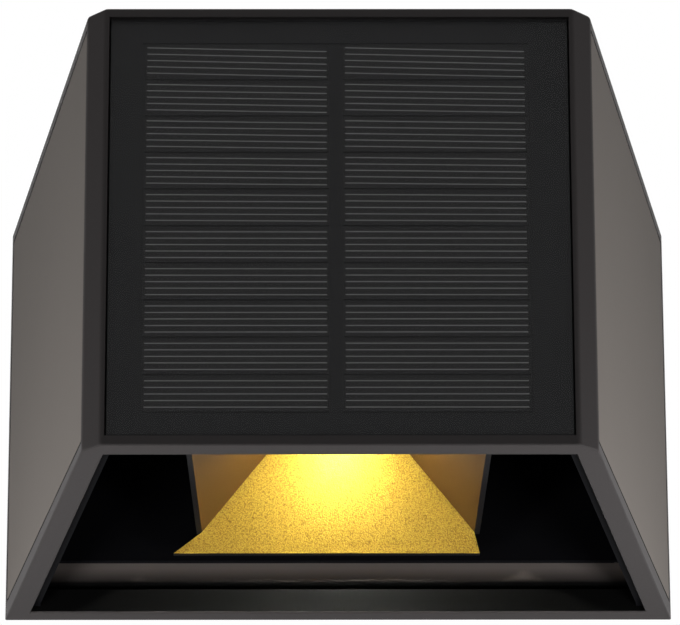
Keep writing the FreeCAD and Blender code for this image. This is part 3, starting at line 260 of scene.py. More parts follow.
@dataclass(frozen=True)
class HoodPlastic:
    """Black ABS, spark-eroded outside to a satin grain; inside the hood it is painted near-black as painted
    shade.
    """

    name: str = "satin_black_abs_painted_shade_inside"
    outside: str = "#423f3f"
    # Painted shade: the inside of the hood is painted near-black.
    inside: str = "#060606"
    back_half_mm: float = 60.8
    taper: float = 16.6 / 87.5
    wall_mm: float = 2.2
    front_wall_mm: float = -88.0
    roof_mm: float = 36.0
    rim_mm: float = -39.05
    rim_slope: float = 5.55 / 90.5
    roughness: float = 0.6
    sheen_spread: float = 0.06
    specular: float = 0.05
    # A real grain is about 0.1 mm wide; it is drawn coarser, so that it shows in the render.
    grain_mm: float = 0.35
    grain_depth_mm: float = 0.012

    def material(self) -> bpy.types.Material:
        """Build the node material.

        A point is inside where |X| is less than the hood's half width at its depth less the
        wall, and where it lies behind the front wall, under the roof and above the rim, all
        worked out from its own place. Inside points take the near-black inside colour, which
        is painted shade.

        Returns:
            The material, its grain scaled from its real width.
        """
        material, tree = new_material(self.name)
        place = object_coordinates(tree)
        axes = add_node(tree, "ShaderNodeSeparateXYZ", {"Vector": place})
        across = add_node(tree, "ShaderNodeMath", {0: axes.outputs["X"]}, operation="ABSOLUTE")
        reach = add_node(
            tree,
            "ShaderNodeMath",
            {0: axes.outputs["Y"], 1: self.taper, 2: (self.back_half_mm - self.wall_mm) * MM},
            operation="MULTIPLY_ADD",
        )
        inner = add_node(
            tree,
            "ShaderNodeMath",
            {0: across.outputs["Value"], 1: reach.outputs["Value"]},
            operation="LESS_THAN",
        )
        behind = add_node(
            tree,
            "ShaderNodeMath",
            {0: axes.outputs["Y"], 1: self.front_wall_mm * MM},
            operation="GREATER_THAN",
        )
        under = add_node(
            tree,
            "ShaderNodeMath",
            {0: axes.outputs["Z"], 1: self.roof_mm * MM},
            operation="LESS_THAN",
        )
        sill = add_node(
            tree,
            "ShaderNodeMath",
            {0: axes.outputs["Y"], 1: self.rim_slope, 2: self.rim_mm * MM},
            operation="MULTIPLY_ADD",
        )
        above = add_node(
            tree,
            "ShaderNodeMath",
            {0: axes.outputs["Z"], 1: sill.outputs["Value"]},
            operation="GREATER_THAN",
        )
        mask = inner
        for test in (behind, under, above):
            mask = add_node(
                tree,
                "ShaderNodeMath",
                {0: mask.outputs["Value"], 1: test.outputs["Value"]},
                operation="MULTIPLY",
            )
        # Painted shade: points inside the hood take the near-black inside colour.
        colour = add_node(
            tree,
            "ShaderNodeMixRGB",
            {
                "Fac": mask.outputs["Value"],
                "Color1": linear(self.outside),
                "Color2": linear(self.inside),
            },
        )
        grain = add_node(
            tree,
            "ShaderNodeTexNoise",
            {"Vector": place, "Scale": 1 / (self.grain_mm * MM), "Detail": 2.0},
        )
        sheen = add_node(
            tree,
            "ShaderNodeMapRange",
            {
                "Value": grain.outputs["Fac"],
                "To Min": self.roughness - self.sheen_spread,
                "To Max": self.roughness + self.sheen_spread,
            },
        )
        bump = add_node(
            tree,
            "ShaderNodeBump",
            {"Height": grain.outputs["Fac"], "Distance": self.grain_depth_mm * MM, "Strength": 1.0},
        )
        shader = add_node(
            tree,
            "ShaderNodeBsdfPrincipled",
            {
                "Base Color": colour.outputs["Color"],
                "Roughness": sheen.outputs["Result"],
                "Specular IOR Level": self.specular,
                "Normal": bump.outputs["Normal"],
            },
        )
        close_material(tree, shader.outputs["BSDF"])
        return material


@dataclass(frozen=True)
class GiltPebble:
    """Vacuum-gilt plastic over a pebbled mould: a warm glow broken into small bright grains.

    The side walls are painted darker and browner by the way they face, as painted shade,
    and faces that look straight down are painted near-black, as painted shade.
    """

    name: str = "gilt_pebble"
    light: str = "#bd9c34"
    dark: str = "#6f5009"
    pebble_mm: float = 0.24
    pebble_depth_mm: float = 0.04
    # Painted shade: the next four fields darken the side walls and paint the downward faces near-black.
    steep_wall_shade: str = "#4a2f06"
    down_face_shade: str = "#1b1b1e"
    steep_wall_shade_from: float = 0.4
    down_face_shade_from: float = -0.95
    tone_reach: float = 0.45
    metallic: float = 0.5
    roughness: float = 0.5

    def material(self) -> bpy.types.Material:
        """Build the node material.

        Returns:
            The material, its pebbles scaled from their real width.
        """
        material, tree = new_material(self.name)
        place = object_coordinates(tree)
        pebble = add_node(
            tree,
            "ShaderNodeTexVoronoi",
            {"Vector": place, "Scale": 1 / (self.pebble_mm * MM), "Randomness": 1.0},
            feature="F1",
        )
        grit = add_node(
            tree,
            "ShaderNodeTexNoise",
            {"Vector": place, "Scale": 2 / (self.pebble_mm * MM), "Detail": 2.0},
        )
        height = add_node(
            tree,
            "ShaderNodeMath",
            {0: grit.outputs["Fac"], 1: pebble.outputs["Distance"]},
            operation="SUBTRACT",
        )
        tone = add_node(
            tree,
            "ShaderNodeMapRange",
            {
                "Value": height.outputs["Value"],
                "From Min": -self.tone_reach,
                "From Max": self.tone_reach,
            },
        )
        colour = add_node(
            tree,
            "ShaderNodeMixRGB",
            {"Fac": tone.outputs["Result"], "Color1": linear(self.dark), "Color2": linear(self.light)},
        )
        # Painted shade: faces turned sideways beyond a limit take the darker brown.
        geometry = add_node(tree, "ShaderNodeNewGeometry")
        facing = add_node(tree, "ShaderNodeSeparateXYZ", {"Vector": geometry.outputs["True Normal"]})
        side = add_node(tree, "ShaderNodeMath", {0: facing.outputs["X"]}, operation="ABSOLUTE")
        steep_wall_shade_mask = add_node(
            tree,
            "ShaderNodeMath",
            {0: side.outputs["Value"], 1: self.steep_wall_shade_from},
            operation="GREATER_THAN",
        )
        colour = add_node(
            tree,
            "ShaderNodeMixRGB",
            {
                "Fac": steep_wall_shade_mask.outputs["Value"],
                "Color1": colour.outputs["Color"],
                "Color2": linear(self.steep_wall_shade),
            },
        )
        # Painted shade: faces that look down take the near-black colour.
        edge = add_node(
            tree,
            "ShaderNodeMath",
            {0: facing.outputs["Z"], 1: self.down_face_shade_from},
            operation="LESS_THAN",
        )
        colour = add_node(
            tree,
            "ShaderNodeMixRGB",
            {
                "Fac": edge.outputs["Value"],
                "Color1": colour.outputs["Color"],
                "Color2": linear(self.down_face_shade),
            },
        )
        bump = add_node(
            tree,
            "ShaderNodeBump",
            {"Height": height.outputs["Value"], "Distance": self.pebble_depth_mm * MM, "Strength": 1.0},
        )
        shader = add_node(
            tree,
            "ShaderNodeBsdfPrincipled",
            {
                "Base Color": colour.outputs["Color"],
                "Metallic": self.metallic,
                "Roughness": self.roughness,
                "Normal": bump.outputs["Normal"],
            },
        )
        close_material(tree, shader.outputs["BSDF"])
        return material


@dataclass(frozen=True)
class ClearSheet:
    """Matt-etched clear resin over the cells: lets most light straight through."""

    name: str = "etched_clear_resin"
    colour: str = "#383839"
    alpha: float = 0.25
    roughness: float = 0.45
    specular: float = 0.1
    grain_mm: float = 0.5
    grain_depth_mm: float = 0.004

    def material(self) -> bpy.types.Material:
        """Build the node material.

        Returns:
            The material, see-through by a constant alpha.
        """
        material, tree = new_material(self.name)
        place = object_coordinates(tree)
        grain = add_node(
            tree,
            "ShaderNodeTexNoise",
            {"Vector": place, "Scale": 1 / (self.grain_mm * MM), "Detail": 2.0},
        )
        bump = add_node(
            tree,
            "ShaderNodeBump",
            {"Height": grain.outputs["Fac"], "Distance": self.grain_depth_mm * MM, "Strength": 1.0},
        )
        shader = add_node(
            tree,
            "ShaderNodeBsdfPrincipled",
            {
                "Base Color": linear(self.colour),
                "Roughness": self.roughness,
                "Specular IOR Level": self.specular,
                "Alpha": self.alpha,
                "Normal": bump.outputs["Normal"],
            },
        )
        close_material(tree, shader.outputs["BSDF"])
        return material


@dataclass(frozen=True)
class CoatedMetal:
    """Metal with a plated, blackened or printed surface and the fine marks of its making."""

    name: str
    colour: str
    roughness: float = 0.35
    metallic: float = 1.0
    mark_mm: float = 0.25
    mark_depth_mm: float = 0.006
    sheen_spread: float = 0.08

    def material(self) -> bpy.types.Material:
        """Build the node material.

        Returns:
            The material, its marks scaled from their real width.
        """
        material, tree = new_material(self.name)
        place = object_coordinates(tree)
        marks = add_node(
            tree,
            "ShaderNodeTexNoise",
            {"Vector": place, "Scale": 1 / (self.mark_mm * MM), "Detail": 3.0},
        )
        bump = add_node(
            tree,
            "ShaderNodeBump",
            {"Height": marks.outputs["Fac"], "Distance": self.mark_depth_mm * MM, "Strength": 1.0},
        )
        sheen = add_node(
            tree,
            "ShaderNodeMapRange",
            {
                "Value": marks.outputs["Fac"],
                "To Min": self.roughness - self.sheen_spread,
                "To Max": self.roughness + self.sheen_spread,
            },
        )
        shader = add_node(
            tree,
            "ShaderNodeBsdfPrincipled",
            {
                "Base Color": linear(self.colour),
                "Metallic": self.metallic,
                "Roughness": sheen.outputs["Result"],
                "Normal": bump.outputs["Normal"],
            },
        )
        close_material(tree, shader.outputs["BSDF"])
        return material


@dataclass(frozen=True)
class CircuitLaminate:
    """Glass-epoxy board under green solder mask: copper tracks show as paler, raised bands."""

    name: str = "circuit_laminate"
    mask: str = "#0d4a2a"
    track: str = "#1a6b3c"
    pitch_mm: float = 2.54
    tracks: float = 4.0
    track_from: float = 0.7
    track_height_mm: float = 0.03

    def material(self) -> bpy.types.Material:
        """Build the node material.

        Returns:
            The material, its tracks on a grid of the real pin pitch.
        """
        material, tree = new_material(self.name)
        place = object_coordinates(tree)
        cells = add_node(
            tree,
            "ShaderNodeTexVoronoi",
            {"Vector": place, "Scale": 1 / (2 * self.pitch_mm * MM), "Randomness": 0.85},
            feature="F1",
            distance="MANHATTAN",
        )
        bands = add_node(
            tree,
            "ShaderNodeMath",
            {0: cells.outputs["Distance"], 1: self.tracks},
            operation="MULTIPLY",
        )
        wave = add_node(tree, "ShaderNodeMath", {0: bands.outputs["Value"]}, operation="FRACT")
        track = add_node(
            tree,
            "ShaderNodeMath",
            {0: wave.outputs["Value"], 1: self.track_from},
            operation="GREATER_THAN",
        )
        colour = add_node(
            tree,
            "ShaderNodeMixRGB",
            {"Fac": track.outputs["Value"], "Color1": linear(self.mask), "Color2": linear(self.track)},
        )
        bump = add_node(
            tree,
            "ShaderNodeBump",
            {
                "Height": track.outputs["Value"],
                "Distance": self.track_height_mm * MM,
                "Strength": 1.0,
            },
        )
        shader = add_node(
            tree,
            "ShaderNodeBsdfPrincipled",
            {
                "Base Color": colour.outputs["Color"],
                "Roughness": 0.3,
                "Normal": bump.outputs["Normal"],
            },
        )
        close_material(tree, shader.outputs["BSDF"])
        return material


@dataclass(frozen=True)
class PhosphorGlow:
    """Silicone loaded with yellow phosphor over the diode: it gives off warm white light."""

    name: str = "phosphor_glow"
    body: str = "#f2c94c"
    glow: str = "#fffff4"
    strength: float = 2400.0
    grit_mm: float = 0.3
    grit_depth_mm: float = 0.02

    def material(self) -> bpy.types.Material:
        """Build the node material.

        Returns:
            The glowing material.
        """
        material, tree = new_material(self.name)
        place = object_coordinates(tree)
        grit = add_node(
            tree,
            "ShaderNodeTexNoise",
            {"Vector": place, "Scale": 1 / (self.grit_mm * MM), "Detail": 2.0},
        )
        bump = add_node(
            tree,
            "ShaderNodeBump",
            {"Height": grit.outputs["Fac"], "Distance": self.grit_depth_mm * MM, "Strength": 1.0},
        )
        shader = add_node(
            tree,
            "ShaderNodeBsdfPrincipled",
            {
                "Base Color": linear(self.body),
                "Roughness": 0.4,
                "Emission Color": linear(self.glow),
                "Emission Strength": self.strength,
                "Normal": bump.outputs["Normal"],
            },
        )
        close_material(tree, shader.outputs["BSDF"])
        return material


# Meshes


def add_piece(
    name: str,
    points: Array,
    faces: Sequence[Sequence[int]],
    material: bpy.types.Material,
    body: Body,
    edge: bpy.types.Material | None = None,
    edge_faces: int = 0,
) -> bpy.types.Object:
    """Make a piece from points and faces and let it ride on a body.

    Args:
        name: The piece's name.
        points: Points in millimetres, one row each.
        faces: Rows of point numbers, each face counter-clockwise seen from outside.
        material: The piece's finish.
        body: The body that it moves with.
        edge: The finish of its edge, where that differs.
        edge_faces: How many faces at the end of the list, but for the last, are the edge.

    Returns:
        The new object, at the origin and unturned.
    """
    mesh = bpy.data.meshes.new(name)
    mesh.from_pydata((np.asarray(points) * MM).tolist(), [], [list(face) for face in faces])
    mesh.materials.append(material)
    if edge is not None:
        mesh.materials.append(edge)
        numbers = np.zeros(len(mesh.polygons), dtype=np.int32)
        numbers[-edge_faces - 1 : -1] = 1
        mesh.polygons.foreach_set("material_index", numbers)
    mesh.validate()
    mesh.update()
    piece = bpy.data.objects.new(name, mesh)
    bpy.context.scene.collection.objects.link(piece)
    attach(piece, body.value)
    return piece


def ring_faces(rings: int, count: int) -> Array:
    """Quads between closed rings that follow one another, outward for rings drawn outward.

    Quad (i, j) joins points j and j + 1 of ring i to the same points of ring i + 1.

    Args:
        rings: How many rings there are.
        count: How many points each ring has.

    Returns:
        Point numbers, one quad to a row.
    """
    i, j = np.meshgrid(np.arange(rings - 1), np.arange(count), indexing="ij")
    after = (j + 1) % count
    quads = np.stack([i * count + j, i * count + after, (i + 1) * count + after, (i + 1) * count + j], -1)
    return quads.reshape(-1, 4)


def rounded_outline(corners: Array, radius: float, steps: int) -> tuple[Array, Array]:
    """Round a convex outline's corners.

    At each corner the arc's centre lies on the bisector, radius / sin(half the corner) away,
    and the arc's points run between the two edges' outward normals.

    Args:
        corners: The corners, counter-clockwise, one (u, v) row each.
        radius: The arcs' radius.
        steps: How many points make each arc.

    Returns:
        The arcs' centres and their outward unit directions, one row for each point.
    """
    ahead = np.roll(corners, -1, 0) - corners
    ahead /= np.linalg.norm(ahead, axis=1, keepdims=True)
    normals = np.stack([ahead[:, 1], -ahead[:, 0]], 1)
    before = np.roll(normals, 1, 0)
    start = np.arctan2(before[:, 1], before[:, 0])
    turn = (np.arctan2(normals[:, 1], normals[:, 0]) - start) % (2 * np.pi)
    angles = start[:, None] + turn[:, None] * np.linspace(0, 1, steps)[None, :]
    middle = start + turn / 2
    away = np.stack([np.cos(middle), np.sin(middle)], 1)
    centres = corners - away * (radius / np.cos(turn / 2))[:, None]
    directions = np.stack([np.cos(angles), np.sin(angles)], -1)
    return np.repeat(centres[:, None, :], steps, 1).reshape(-1, 2), directions.reshape(-1, 2)


def soft_plate(
    corners: Array, corner_radius: float, edge_radius: float, thickness: float, steps: int = RING_STEPS
) -> tuple[Array, list[list[int]]]:
    """Work out a flat plate whose front edge is rounded, as a profile carried round its outline.

    Ring k lies edge_radius * (1 - sin a) inside the outline and edge_radius * (1 - cos a)
    below the front, for a from 0 to 90 degrees; the last ring is the back edge.

    Args:
        corners: The outline's corners, counter-clockwise seen from the front, as (u, v).
        corner_radius: The outline's corner radius.
        edge_radius: The front edge's radius.
        thickness: The plate's thickness.
        steps: How many rings make the rounded edge.

    Returns:
        Points as (u, v, w), with w = 0 at the front and -thickness at the back, and faces.
    """
    centres, directions = rounded_outline(corners, corner_radius, steps)
    angle = np.linspace(0, np.pi / 2, steps)
    inset = np.append(edge_radius * (1 - np.sin(angle)), 0.0)
    depth = np.append(-edge_radius * (1 - np.cos(angle)), -thickness)
    reach = corner_radius - inset
    flat = centres[None, :, :] + directions[None, :, :] * reach[:, None, None]
    rise = np.broadcast_to(depth[:, None, None], flat.shape[:2] + (1,))
    points = np.concatenate([flat, rise], -1)
    count = points.shape[1]
    rings = points.shape[0]
    quads = ring_faces(rings, count)[:, ::-1].tolist()
    front = list(range(count))
    back = list(range((rings - 1) * count, rings * count))[::-1]
    return points.reshape(-1, 3), [front, *quads, back]


# Sub-assemblies


@dataclass
class Hood:
    """The wedge-shaped hood, the two side panels let into it, and its back cover."""

    back_width: float = 121.6
    front_width: float = 88.4
    side_depth: float = 87.5
    top: float = 39.35
    low: float = -39.35
    skirt_slope: float = 5.55 / 90.5
    rear_margin: float = 1.55
    front_margin: float = 0.85
    top_margin: float = 2.75
    rear_sill: float = 3.45
    front_sill: float = 2.2
    panel_thickness: float = 1.0
    corner_radius: float = 0.5
    edge_radius: float = 0.3
    # Painted shade: this many bands of the panel's edge, counted from its back, are painted near-black.
    shaded_edge_rings: int = 4
    shell: HoodPlastic = HoodPlastic()
    panel: MouldedPlastic = MouldedPlastic(
        "bronze_grey_panel",
        "#756f6a",
        roughness=0.75,
        specular=0.04,
        grain_mm=0.3,
        cloud_mm=40.0,
        cloud_share=0.04,
    )
    # Painted shade: the panel's edge is painted near-black for the shade in the groove round the panel.
    panel_edge: MouldedPlastic = MouldedPlastic("panel_edge_painted_shade", "#040404", specular=0.05)
    # Painted shade: the cover's inner face below the ledge fades to dark, standing in for the shade under
    # the ledge.
    cover: MouldedPlastic = MouldedPlastic(
        "satin_black_cover_painted_shade", "#6a6360", roughness=0.7, specular=0.03, painted_shade_below_mm=-32.2
    )

    def half_width(self, depth: Array) -> Array:
        """Half the hood's width, which shrinks evenly with the distance from the wall."""
        return self.back_width / 2 - (self.back_width - self.front_width) / 2 * depth / self.side_depth

    def rim(self, depth: Array) -> Array:
        """Height of the lower rim, which falls evenly with the distance from the wall."""
        return self.low - self.skirt_slope * depth

    def panel_piece(self, side: Side) -> bpy.types.Object:
        """Make one side panel with softened edges.

        The plate is worked out in the side face's own plane, u along the face and v up, and
        laid into the face: a point is the face's rear edge plus u along it, v up and w out.

        Args:
            side: Which side it is on.

        Returns:
            The panel.
        """
        sign = side.value
        depths = np.array([self.rear_margin, self.side_depth - self.front_margin])
        rear, front = np.stack([sign * self.half_width(depths), -depths, np.zeros(2)], 1)
        along = front - rear
        length = float(np.linalg.norm(along))
        along = along / length
        up = np.array([0.0, 0.0, 1.0])
        out = np.cross(along, up) * -sign
        sills = self.rim(depths) + np.array([self.rear_sill, self.front_sill])
        top = self.top - self.top_margin
        corners = np.array([[0, sills[0]], [length, sills[1]], [length, top], [0, top]])
        if sign > 0:
            corners = corners[::-1] * np.array([-1.0, 1.0])
            along = -along
        thickness = self.panel_thickness * abs(float(out[0]))
        points, faces = soft_plate(corners, self.corner_radius, self.edge_radius, thickness)
        placed = rear + points[:, :1] * along + points[:, 1:2] * up + points[:, 2:] * out
        if np.dot(np.cross(along, up), out) < 0:
            faces = [face[::-1] for face in faces]
        name = f"{side.name.lower()}_side_panel"
        # Painted shade: the edge finish goes on the panel's side and the back part of its rounding.
        piece = add_piece(
            name + "_soft",
            placed,
            faces,
            self.panel.material(),
            Body.LAMP,
            self.panel_edge.material(),
            len(corners) * RING_STEPS * self.shaded_edge_rings,
        )
        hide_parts(name)
        return piece

    def build(self) -> None:
        """Dress the hood and its cover, and make the side panels."""
        for side in Side:
            self.panel_piece(side)
        dress(self.shell.material(), "housing_shell")
        dress(self.cover.material(), "back_cover")
        rubber = MouldedPlastic("black_gasket_rubber", "#161616", roughness=0.8, grain_mm=0.6)
        dress(rubber.material(), "cover_gasket", "lead_grommet")
        LOG.info("hood: shell, cover and two side panels")


@dataclass
class SolarModule:
    """The square module: backing board, twenty cells with printed lines, and the front sheet."""

    size: float = 80.0
    top: float = 37.2
    front: float = -90.3
    sheet: float = 1.2
    sheet_gap: float = 0.05
    cell_length: float = 32.0
    cell_pitch: float = 7.1
    column_gap: float = 2.6
    column_shift: float = 0.6
    first_line: float = 5.5
    line_pitch: float = 1.24
    line_width: float = 0.16
    line_rise: float = 0.03
    line_inset: float = 0.3
    lines: int = 5
    rows: int = 10
    tilts: tuple[float, ...] = (0.77, 0.56, 0.48, 0.37, 0.19, 0.08, 0.05, 0.0, 0.0, 0.0)
    corner_radius: float = 0.4
    edge_radius: float = 0.25
    clear: ClearSheet = ClearSheet()
    cell: MouldedPlastic = MouldedPlastic(
        "textured_silicon", "#080809", roughness=0.45, grain_mm=0.8, grain_depth_mm=0.004, cloud_mm=12.0
    )
    silver: CoatedMetal = CoatedMetal("printed_silver", "#b4b4b4", roughness=0.5, metallic=0.2)
    board: MouldedPlastic = MouldedPlastic("black_backing_board", "#262627", roughness=0.6)
    seal: MouldedPlastic = MouldedPlastic("black_edge_sealant", "#262627", roughness=0.6)
    tape: MouldedPlastic = MouldedPlastic("foam_tape", "#101010", roughness=0.9, grain_depth_mm=0.05)

    def finger_lines(self) -> bpy.types.Object:
        """Make the silver lines printed across the cells, a flat-topped bar for each.

        Bar (column, row, line) starts at the column's edge, first_line + row * cell_pitch +
        line * line_pitch below the module's top, and falls to the right by the row's tilt.

        Returns:
            All the lines as one piece.
        """
        column, row, line = np.meshgrid(
            np.arange(2), np.arange(self.rows), np.arange(self.lines), indexing="ij"
        )
        column, row, line = column.ravel(), row.ravel(), line.ravel()
        left = np.where(column == 0, -self.column_gap / 2 - self.cell_length, self.column_gap / 2)
        left = left - self.column_shift + self.line_inset
        right = left + self.cell_length - 2 * self.line_inset
        tilt = np.asarray(self.tilts)[row]
        height = self.top - self.first_line - row * self.cell_pitch - line * self.line_pitch
        back = self.front + self.sheet
        count = len(row)
        points = np.zeros((count, 8, 3))
        half = self.line_width / 2
        for index, (x, fall) in enumerate(((left, 0.5), (right, -0.5), (right, -0.5), (left, 0.5))):
            rise = -half if index < 2 else half
            for layer, y in enumerate((back, back - self.line_rise)):
                points[:, layer * 4 + index, 0] = x
                points[:, layer * 4 + index, 1] = y
                points[:, layer * 4 + index, 2] = height + fall * tilt + rise
        box = np.array([[4, 5, 6, 7], [3, 2, 1, 0], [0, 1, 5, 4], [1, 2, 6, 5], [2, 3, 7, 6], [3, 0, 4, 7]])
        faces = (box[None] + 8 * np.arange(count)[:, None, None]).reshape(-1, 4)
        return add_piece(
            "cell_lines", points.reshape(-1, 3), faces.tolist(), self.silver.material(), Body.LAMP
        )

    def front_sheet(self) -> bpy.types.Object:
        """Make the front sheet with softened edges.

        Returns:
            The sheet.
        """
        half = self.size / 2
        corners = np.array([[-half, -half], [half, -half], [half, half], [-half, half]])
        thickness = self.sheet - self.sheet_gap
        points, faces = soft_plate(corners, self.corner_radius, self.edge_radius, thickness)
        placed = np.stack(
            [points[:, 0], self.front - points[:, 2], points[:, 1] + self.top - half], 1
        )
        piece = add_piece(
            "module_front_sheet_soft", placed, faces, self.clear.material(), Body.LAMP
        )
        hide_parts("module_front_sheet")
        return piece

    def build(self) -> None:
        """Dress the module's layers and make its lines and front sheet."""
        self.finger_lines()
        self.front_sheet()
        dress(self.cell.material(), "solar_cells")
        dress(self.board.material(), "module_backing_board")
        dress(self.seal.material(), "module_edge_seal")
        dress(self.tape.material(), "module_tape")
        LOG.info("solar module: %d printed lines and the front sheet", 2 * self.rows * self.lines)


@dataclass
class LightEngine:
    """The liner, the gilt reflector, the light source and the mode button."""

    gilt: GiltPebble = GiltPebble()
    liner: MouldedPlastic = MouldedPlastic(
        "matt_black_liner", "#0b0b0e", roughness=0.8, specular=0.05, grain_mm=0.5
    )
    white: MouldedPlastic = MouldedPlastic("white_solder_mask", "#efe9da", roughness=0.45)
    package: MouldedPlastic = MouldedPlastic("white_diode_frame", "#f3f0e8", roughness=0.5)
    glow: PhosphorGlow = PhosphorGlow()
    button: MouldedPlastic = MouldedPlastic("soft_black_button", "#202021", roughness=0.7)

    def build(self) -> None:
        """Dress the pieces of the chamber."""
        dress(self.gilt.material(), "reflector")
        dress(self.liner.material(), "chamber_liner")
        dress(self.white.material(), "led_board")
        dress(self.package.material(), "led_package")
        dress(self.glow.material(), "led_phosphor")
        dress(self.button.material(), "mode_button")
        plunger = MouldedPlastic("pale_acetal", "#d8d6cf", roughness=0.4)
        dress(plunger.material(), "switch_plunger")
        LOG.info("light engine: reflector, liner, light source and button")


@dataclass
class Electronics:
    """The control board, the battery in its holder, the leads and the screws."""

    laminate: CircuitLaminate = CircuitLaminate()
    epoxy: MouldedPlastic = MouldedPlastic("moulded_epoxy", "#1c1c1d", roughness=0.5, grain_mm=0.2)
    ferrite: MouldedPlastic = MouldedPlastic("sintered_ferrite", "#2b2b2e", roughness=0.6, grain_mm=0.3)
    can: CoatedMetal = CoatedMetal("drawn_aluminium_can", "#b9bcc0", roughness=0.3)
    holder: MouldedPlastic = MouldedPlastic("black_nylon_holder", "#19191a", roughness=0.55)
    sleeve: MouldedPlastic = MouldedPlastic("shrunk_blue_sleeve", "#2c5a8c", roughness=0.3, grain_mm=1.5)
    nickel: CoatedMetal = CoatedMetal("nickel_plated_steel", "#c3c0b8", roughness=0.3)
    zinc: CoatedMetal = CoatedMetal("zinc_plated_steel", "#b6b8ba", roughness=0.38)
    blackened: CoatedMetal = CoatedMetal("blackened_steel", "#2a2a2c", roughness=0.42)
    insulation: MouldedPlastic = MouldedPlastic("red_lead_insulation", "#8c1f1c", roughness=0.45)

    def build(self) -> None:
        """Dress every piece inside the hood, and the screws."""
        dress(self.laminate.material(), "control_board")
        dress(self.epoxy.material(), "driver_chip", "switch_body")
        dress(self.ferrite.material(), "charging_inductor")
        dress(self.can.material(), "smoothing_capacitor")
        dress(self.holder.material(), "battery_holder")
        dress(self.sleeve.material(), "battery_cell")
        dress(self.nickel.material(), "battery_plus_contact", "battery_minus_contact", "battery_spring")
        dress(self.zinc.material(), "reflector_screws", "board_screws", "holder_screws")
        dress(self.blackened.material(), "liner_screws", "cover_screws")
        dress(self.insulation.material(), "solar_leads", "battery_leads", "led_leads")
        LOG.info("electronics: board, battery, leads and screws")


def dress(material: bpy.types.Material, *nodes: str) -> None:
    """Give carried-over nodes their finish.

    Args:
        material: The finish.
        *nodes: The nodes' names.
    """
    for name in nodes:
        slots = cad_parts[name].data.materials
        slots.clear()
        slots.append(material)


# Studio


@dataclass
class Lamp:
    """One soft studio light: a rectangle of even light, aimed at a point."""

    name: str
    place: tuple[float, float, float]
    aim: tuple[float, float, float]
    size: float
    power: float
    colour: str = "#ffffff"

    def build(self) -> bpy.types.Object:
        """Make the light.

        Returns:
            The light's object.
        """
        data = bpy.data.lights.new(self.name, "AREA")
        data.shape = "SQUARE"
        data.size = self.size
        data.energy = self.power
        data.color = linear(self.colour)[:3]
        lamp = bpy.data.objects.new(self.name, data)
        lamp.location = self.place
        lamp.visible_camera = False
        way = Vector(self.aim) - Vector(self.place)
        lamp.rotation_euler = way.to_track_quat("-Z", "Y").to_euler()
        bpy.context.scene.collection.objects.link(lamp)
        return lamp


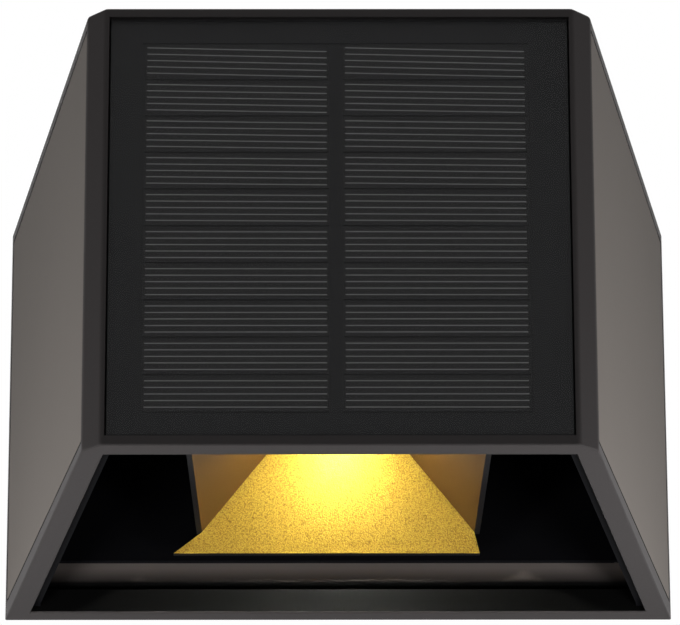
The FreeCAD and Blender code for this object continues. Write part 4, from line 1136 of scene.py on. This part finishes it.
@dataclass
class Studio:
    """A pale floor far below the hung light, soft lights, and the camera."""

    floor_height: float = -2.2
    floor_size: float = 8.0
    floor_colour: str = "#e8e8e8"
    floor_glow: str = "#dcdcdc"
    ambient: float = 0.02
    elevation: float = -25.189
    azimuth: float = 0.28
    roll: float = 0.146
    distance: float = 1233.628
    aim: tuple[float, float, float] = (0.0, -43.0, 0.0)
    focal_pixels: float = 6874.495
    image_width: int = 680
    offset_pixels: tuple[float, float] = (-1.456, -12.729)
    sensor: float = 36.0
    lamps: tuple[Lamp, ...] = field(
        default_factory=lambda: (
            Lamp("left_softbox", (-0.17, -0.07, -0.16), (-0.05, -0.04, -0.03), 0.06, 0.31),
            Lamp("right_softbox", (0.17, -0.07, -0.16), (0.05, -0.04, -0.03), 0.06, 0.37),
            Lamp("low_softbox", (0.0, -0.25, -1.6), (0.0, 0.0, 0.0), 1.2, 0.4),
            Lamp("front_softbox", (0.0, -2.2, 0.9), (0.0, 0.0, 0.0), 1.6, 14.0),
            Lamp("rear_softbox", (0.0, 1.6, 0.9), (0.0, 0.0, 0.0), 1.2, 20.0),
        )
    )

    def floor(self) -> bpy.types.Object:
        """Make the floor, plain and pale.

        Returns:
            The floor's object.
        """
        half = self.floor_size / 2
        mesh = bpy.data.meshes.new("floor")
        corners = [(-half, -half), (half, -half), (half, half), (-half, half)]
        mesh.from_pydata([(x, y, self.floor_height) for x, y in corners], [], [(0, 1, 2, 3)])
        material, tree = new_material("pale_floor")
        place = object_coordinates(tree)
        cloud = add_node(tree, "ShaderNodeTexNoise", {"Vector": place, "Scale": 3.0, "Detail": 3.0})
        tone = add_node(
            tree,
            "ShaderNodeMixRGB",
            {
                "Fac": cloud.outputs["Fac"],
                "Color1": linear(self.floor_colour),
                "Color2": linear("#efefef"),
            },
        )
        seen = add_node(tree, "ShaderNodeLightPath")
        shader = add_node(
            tree,
            "ShaderNodeBsdfPrincipled",
            {
                "Base Color": tone.outputs["Color"],
                "Roughness": 0.9,
                "Emission Color": linear(self.floor_glow),
                "Emission Strength": seen.outputs["Is Camera Ray"],
            },
        )
        close_material(tree, shader.outputs["BSDF"])
        mesh.materials.append(material)
        floor = bpy.data.objects.new("floor", mesh)
        bpy.context.scene.collection.objects.link(floor)
        return floor

    def surroundings(self) -> None:
        """Light the object evenly, and show white behind it and in its reflections."""
        world = bpy.data.worlds.new("studio")
        bpy.context.scene.world = world
        world.use_nodes = True
        tree = world.node_tree
        tree.nodes.clear()
        path = add_node(tree, "ShaderNodeLightPath")
        seen = add_node(
            tree,
            "ShaderNodeMath",
            {0: path.outputs["Is Camera Ray"], 1: path.outputs["Is Glossy Ray"]},
            operation="MAXIMUM",
        )
        seen = add_node(
            tree,
            "ShaderNodeMath",
            {0: seen.outputs["Value"], 1: path.outputs["Is Transmission Ray"]},
            operation="MAXIMUM",
        )
        strength = add_node(
            tree,
            "ShaderNodeMapRange",
            {"Value": seen.outputs["Value"], "To Min": self.ambient, "To Max": 1.0},
        )
        back = add_node(
            tree,
            "ShaderNodeBackground",
            {"Color": (1.0, 1.0, 1.0, 1.0), "Strength": strength.outputs["Result"]},
        )
        add_node(tree, "ShaderNodeOutputWorld", {"Surface": back.outputs["Background"]})

    def camera(self) -> bpy.types.Object:
        """Place the camera below and in front of the light, as in the photograph.

        It looks along its bearing and height angle at the aim point, from the given distance;
        the roll turns the picture, and the offset becomes the lens's shift.

        Returns:
            The camera's object.
        """
        height, bearing, roll = (math.radians(a) for a in (self.elevation, self.azimuth, self.roll))
        ahead = Vector(
            (
                math.sin(bearing) * math.cos(height),
                math.cos(bearing) * math.cos(height),
                -math.sin(height),
            )
        )
        right = Vector((math.cos(bearing), -math.sin(bearing), 0.0))
        up = right.cross(ahead)
        turned = right * math.cos(roll) - up * math.sin(roll)
        upward = right * math.sin(roll) + up * math.cos(roll)
        data = bpy.data.cameras.new("camera")
        data.sensor_width = self.sensor
        data.lens = self.focal_pixels / self.image_width * self.sensor
        data.shift_x = -self.offset_pixels[0] / self.image_width
        data.shift_y = -self.offset_pixels[1] / self.image_width
        data.clip_start = 0.05
        data.clip_end = 50.0
        camera = bpy.data.objects.new("camera", data)
        turn = Matrix((turned, upward, -ahead)).transposed().to_4x4()
        place = (Vector(self.aim) - ahead * self.distance) * MM
        camera.matrix_world = Matrix.Translation(place) @ turn
        bpy.context.scene.collection.objects.link(camera)
        bpy.context.scene.camera = camera
        return camera

    def build(self) -> None:
        """Make the floor, the surroundings, the lights and the camera."""
        self.floor()
        self.surroundings()
        for lamp in self.lamps:
            lamp.build()
        self.camera()
        bpy.context.scene.view_settings.view_transform = "Standard"
        LOG.info("studio: floor, %d lights and camera", len(self.lamps))


def main() -> None:
    """Build the studio and dress every sub-assembly in order."""
    logging.basicConfig(level=logging.INFO, format="%(name)s: %(message)s")
    Studio().build()
    for assembly in (Hood(), SolarModule(), LightEngine(), Electronics()):
        assembly.build()


if __name__ == "__main__":
    main()
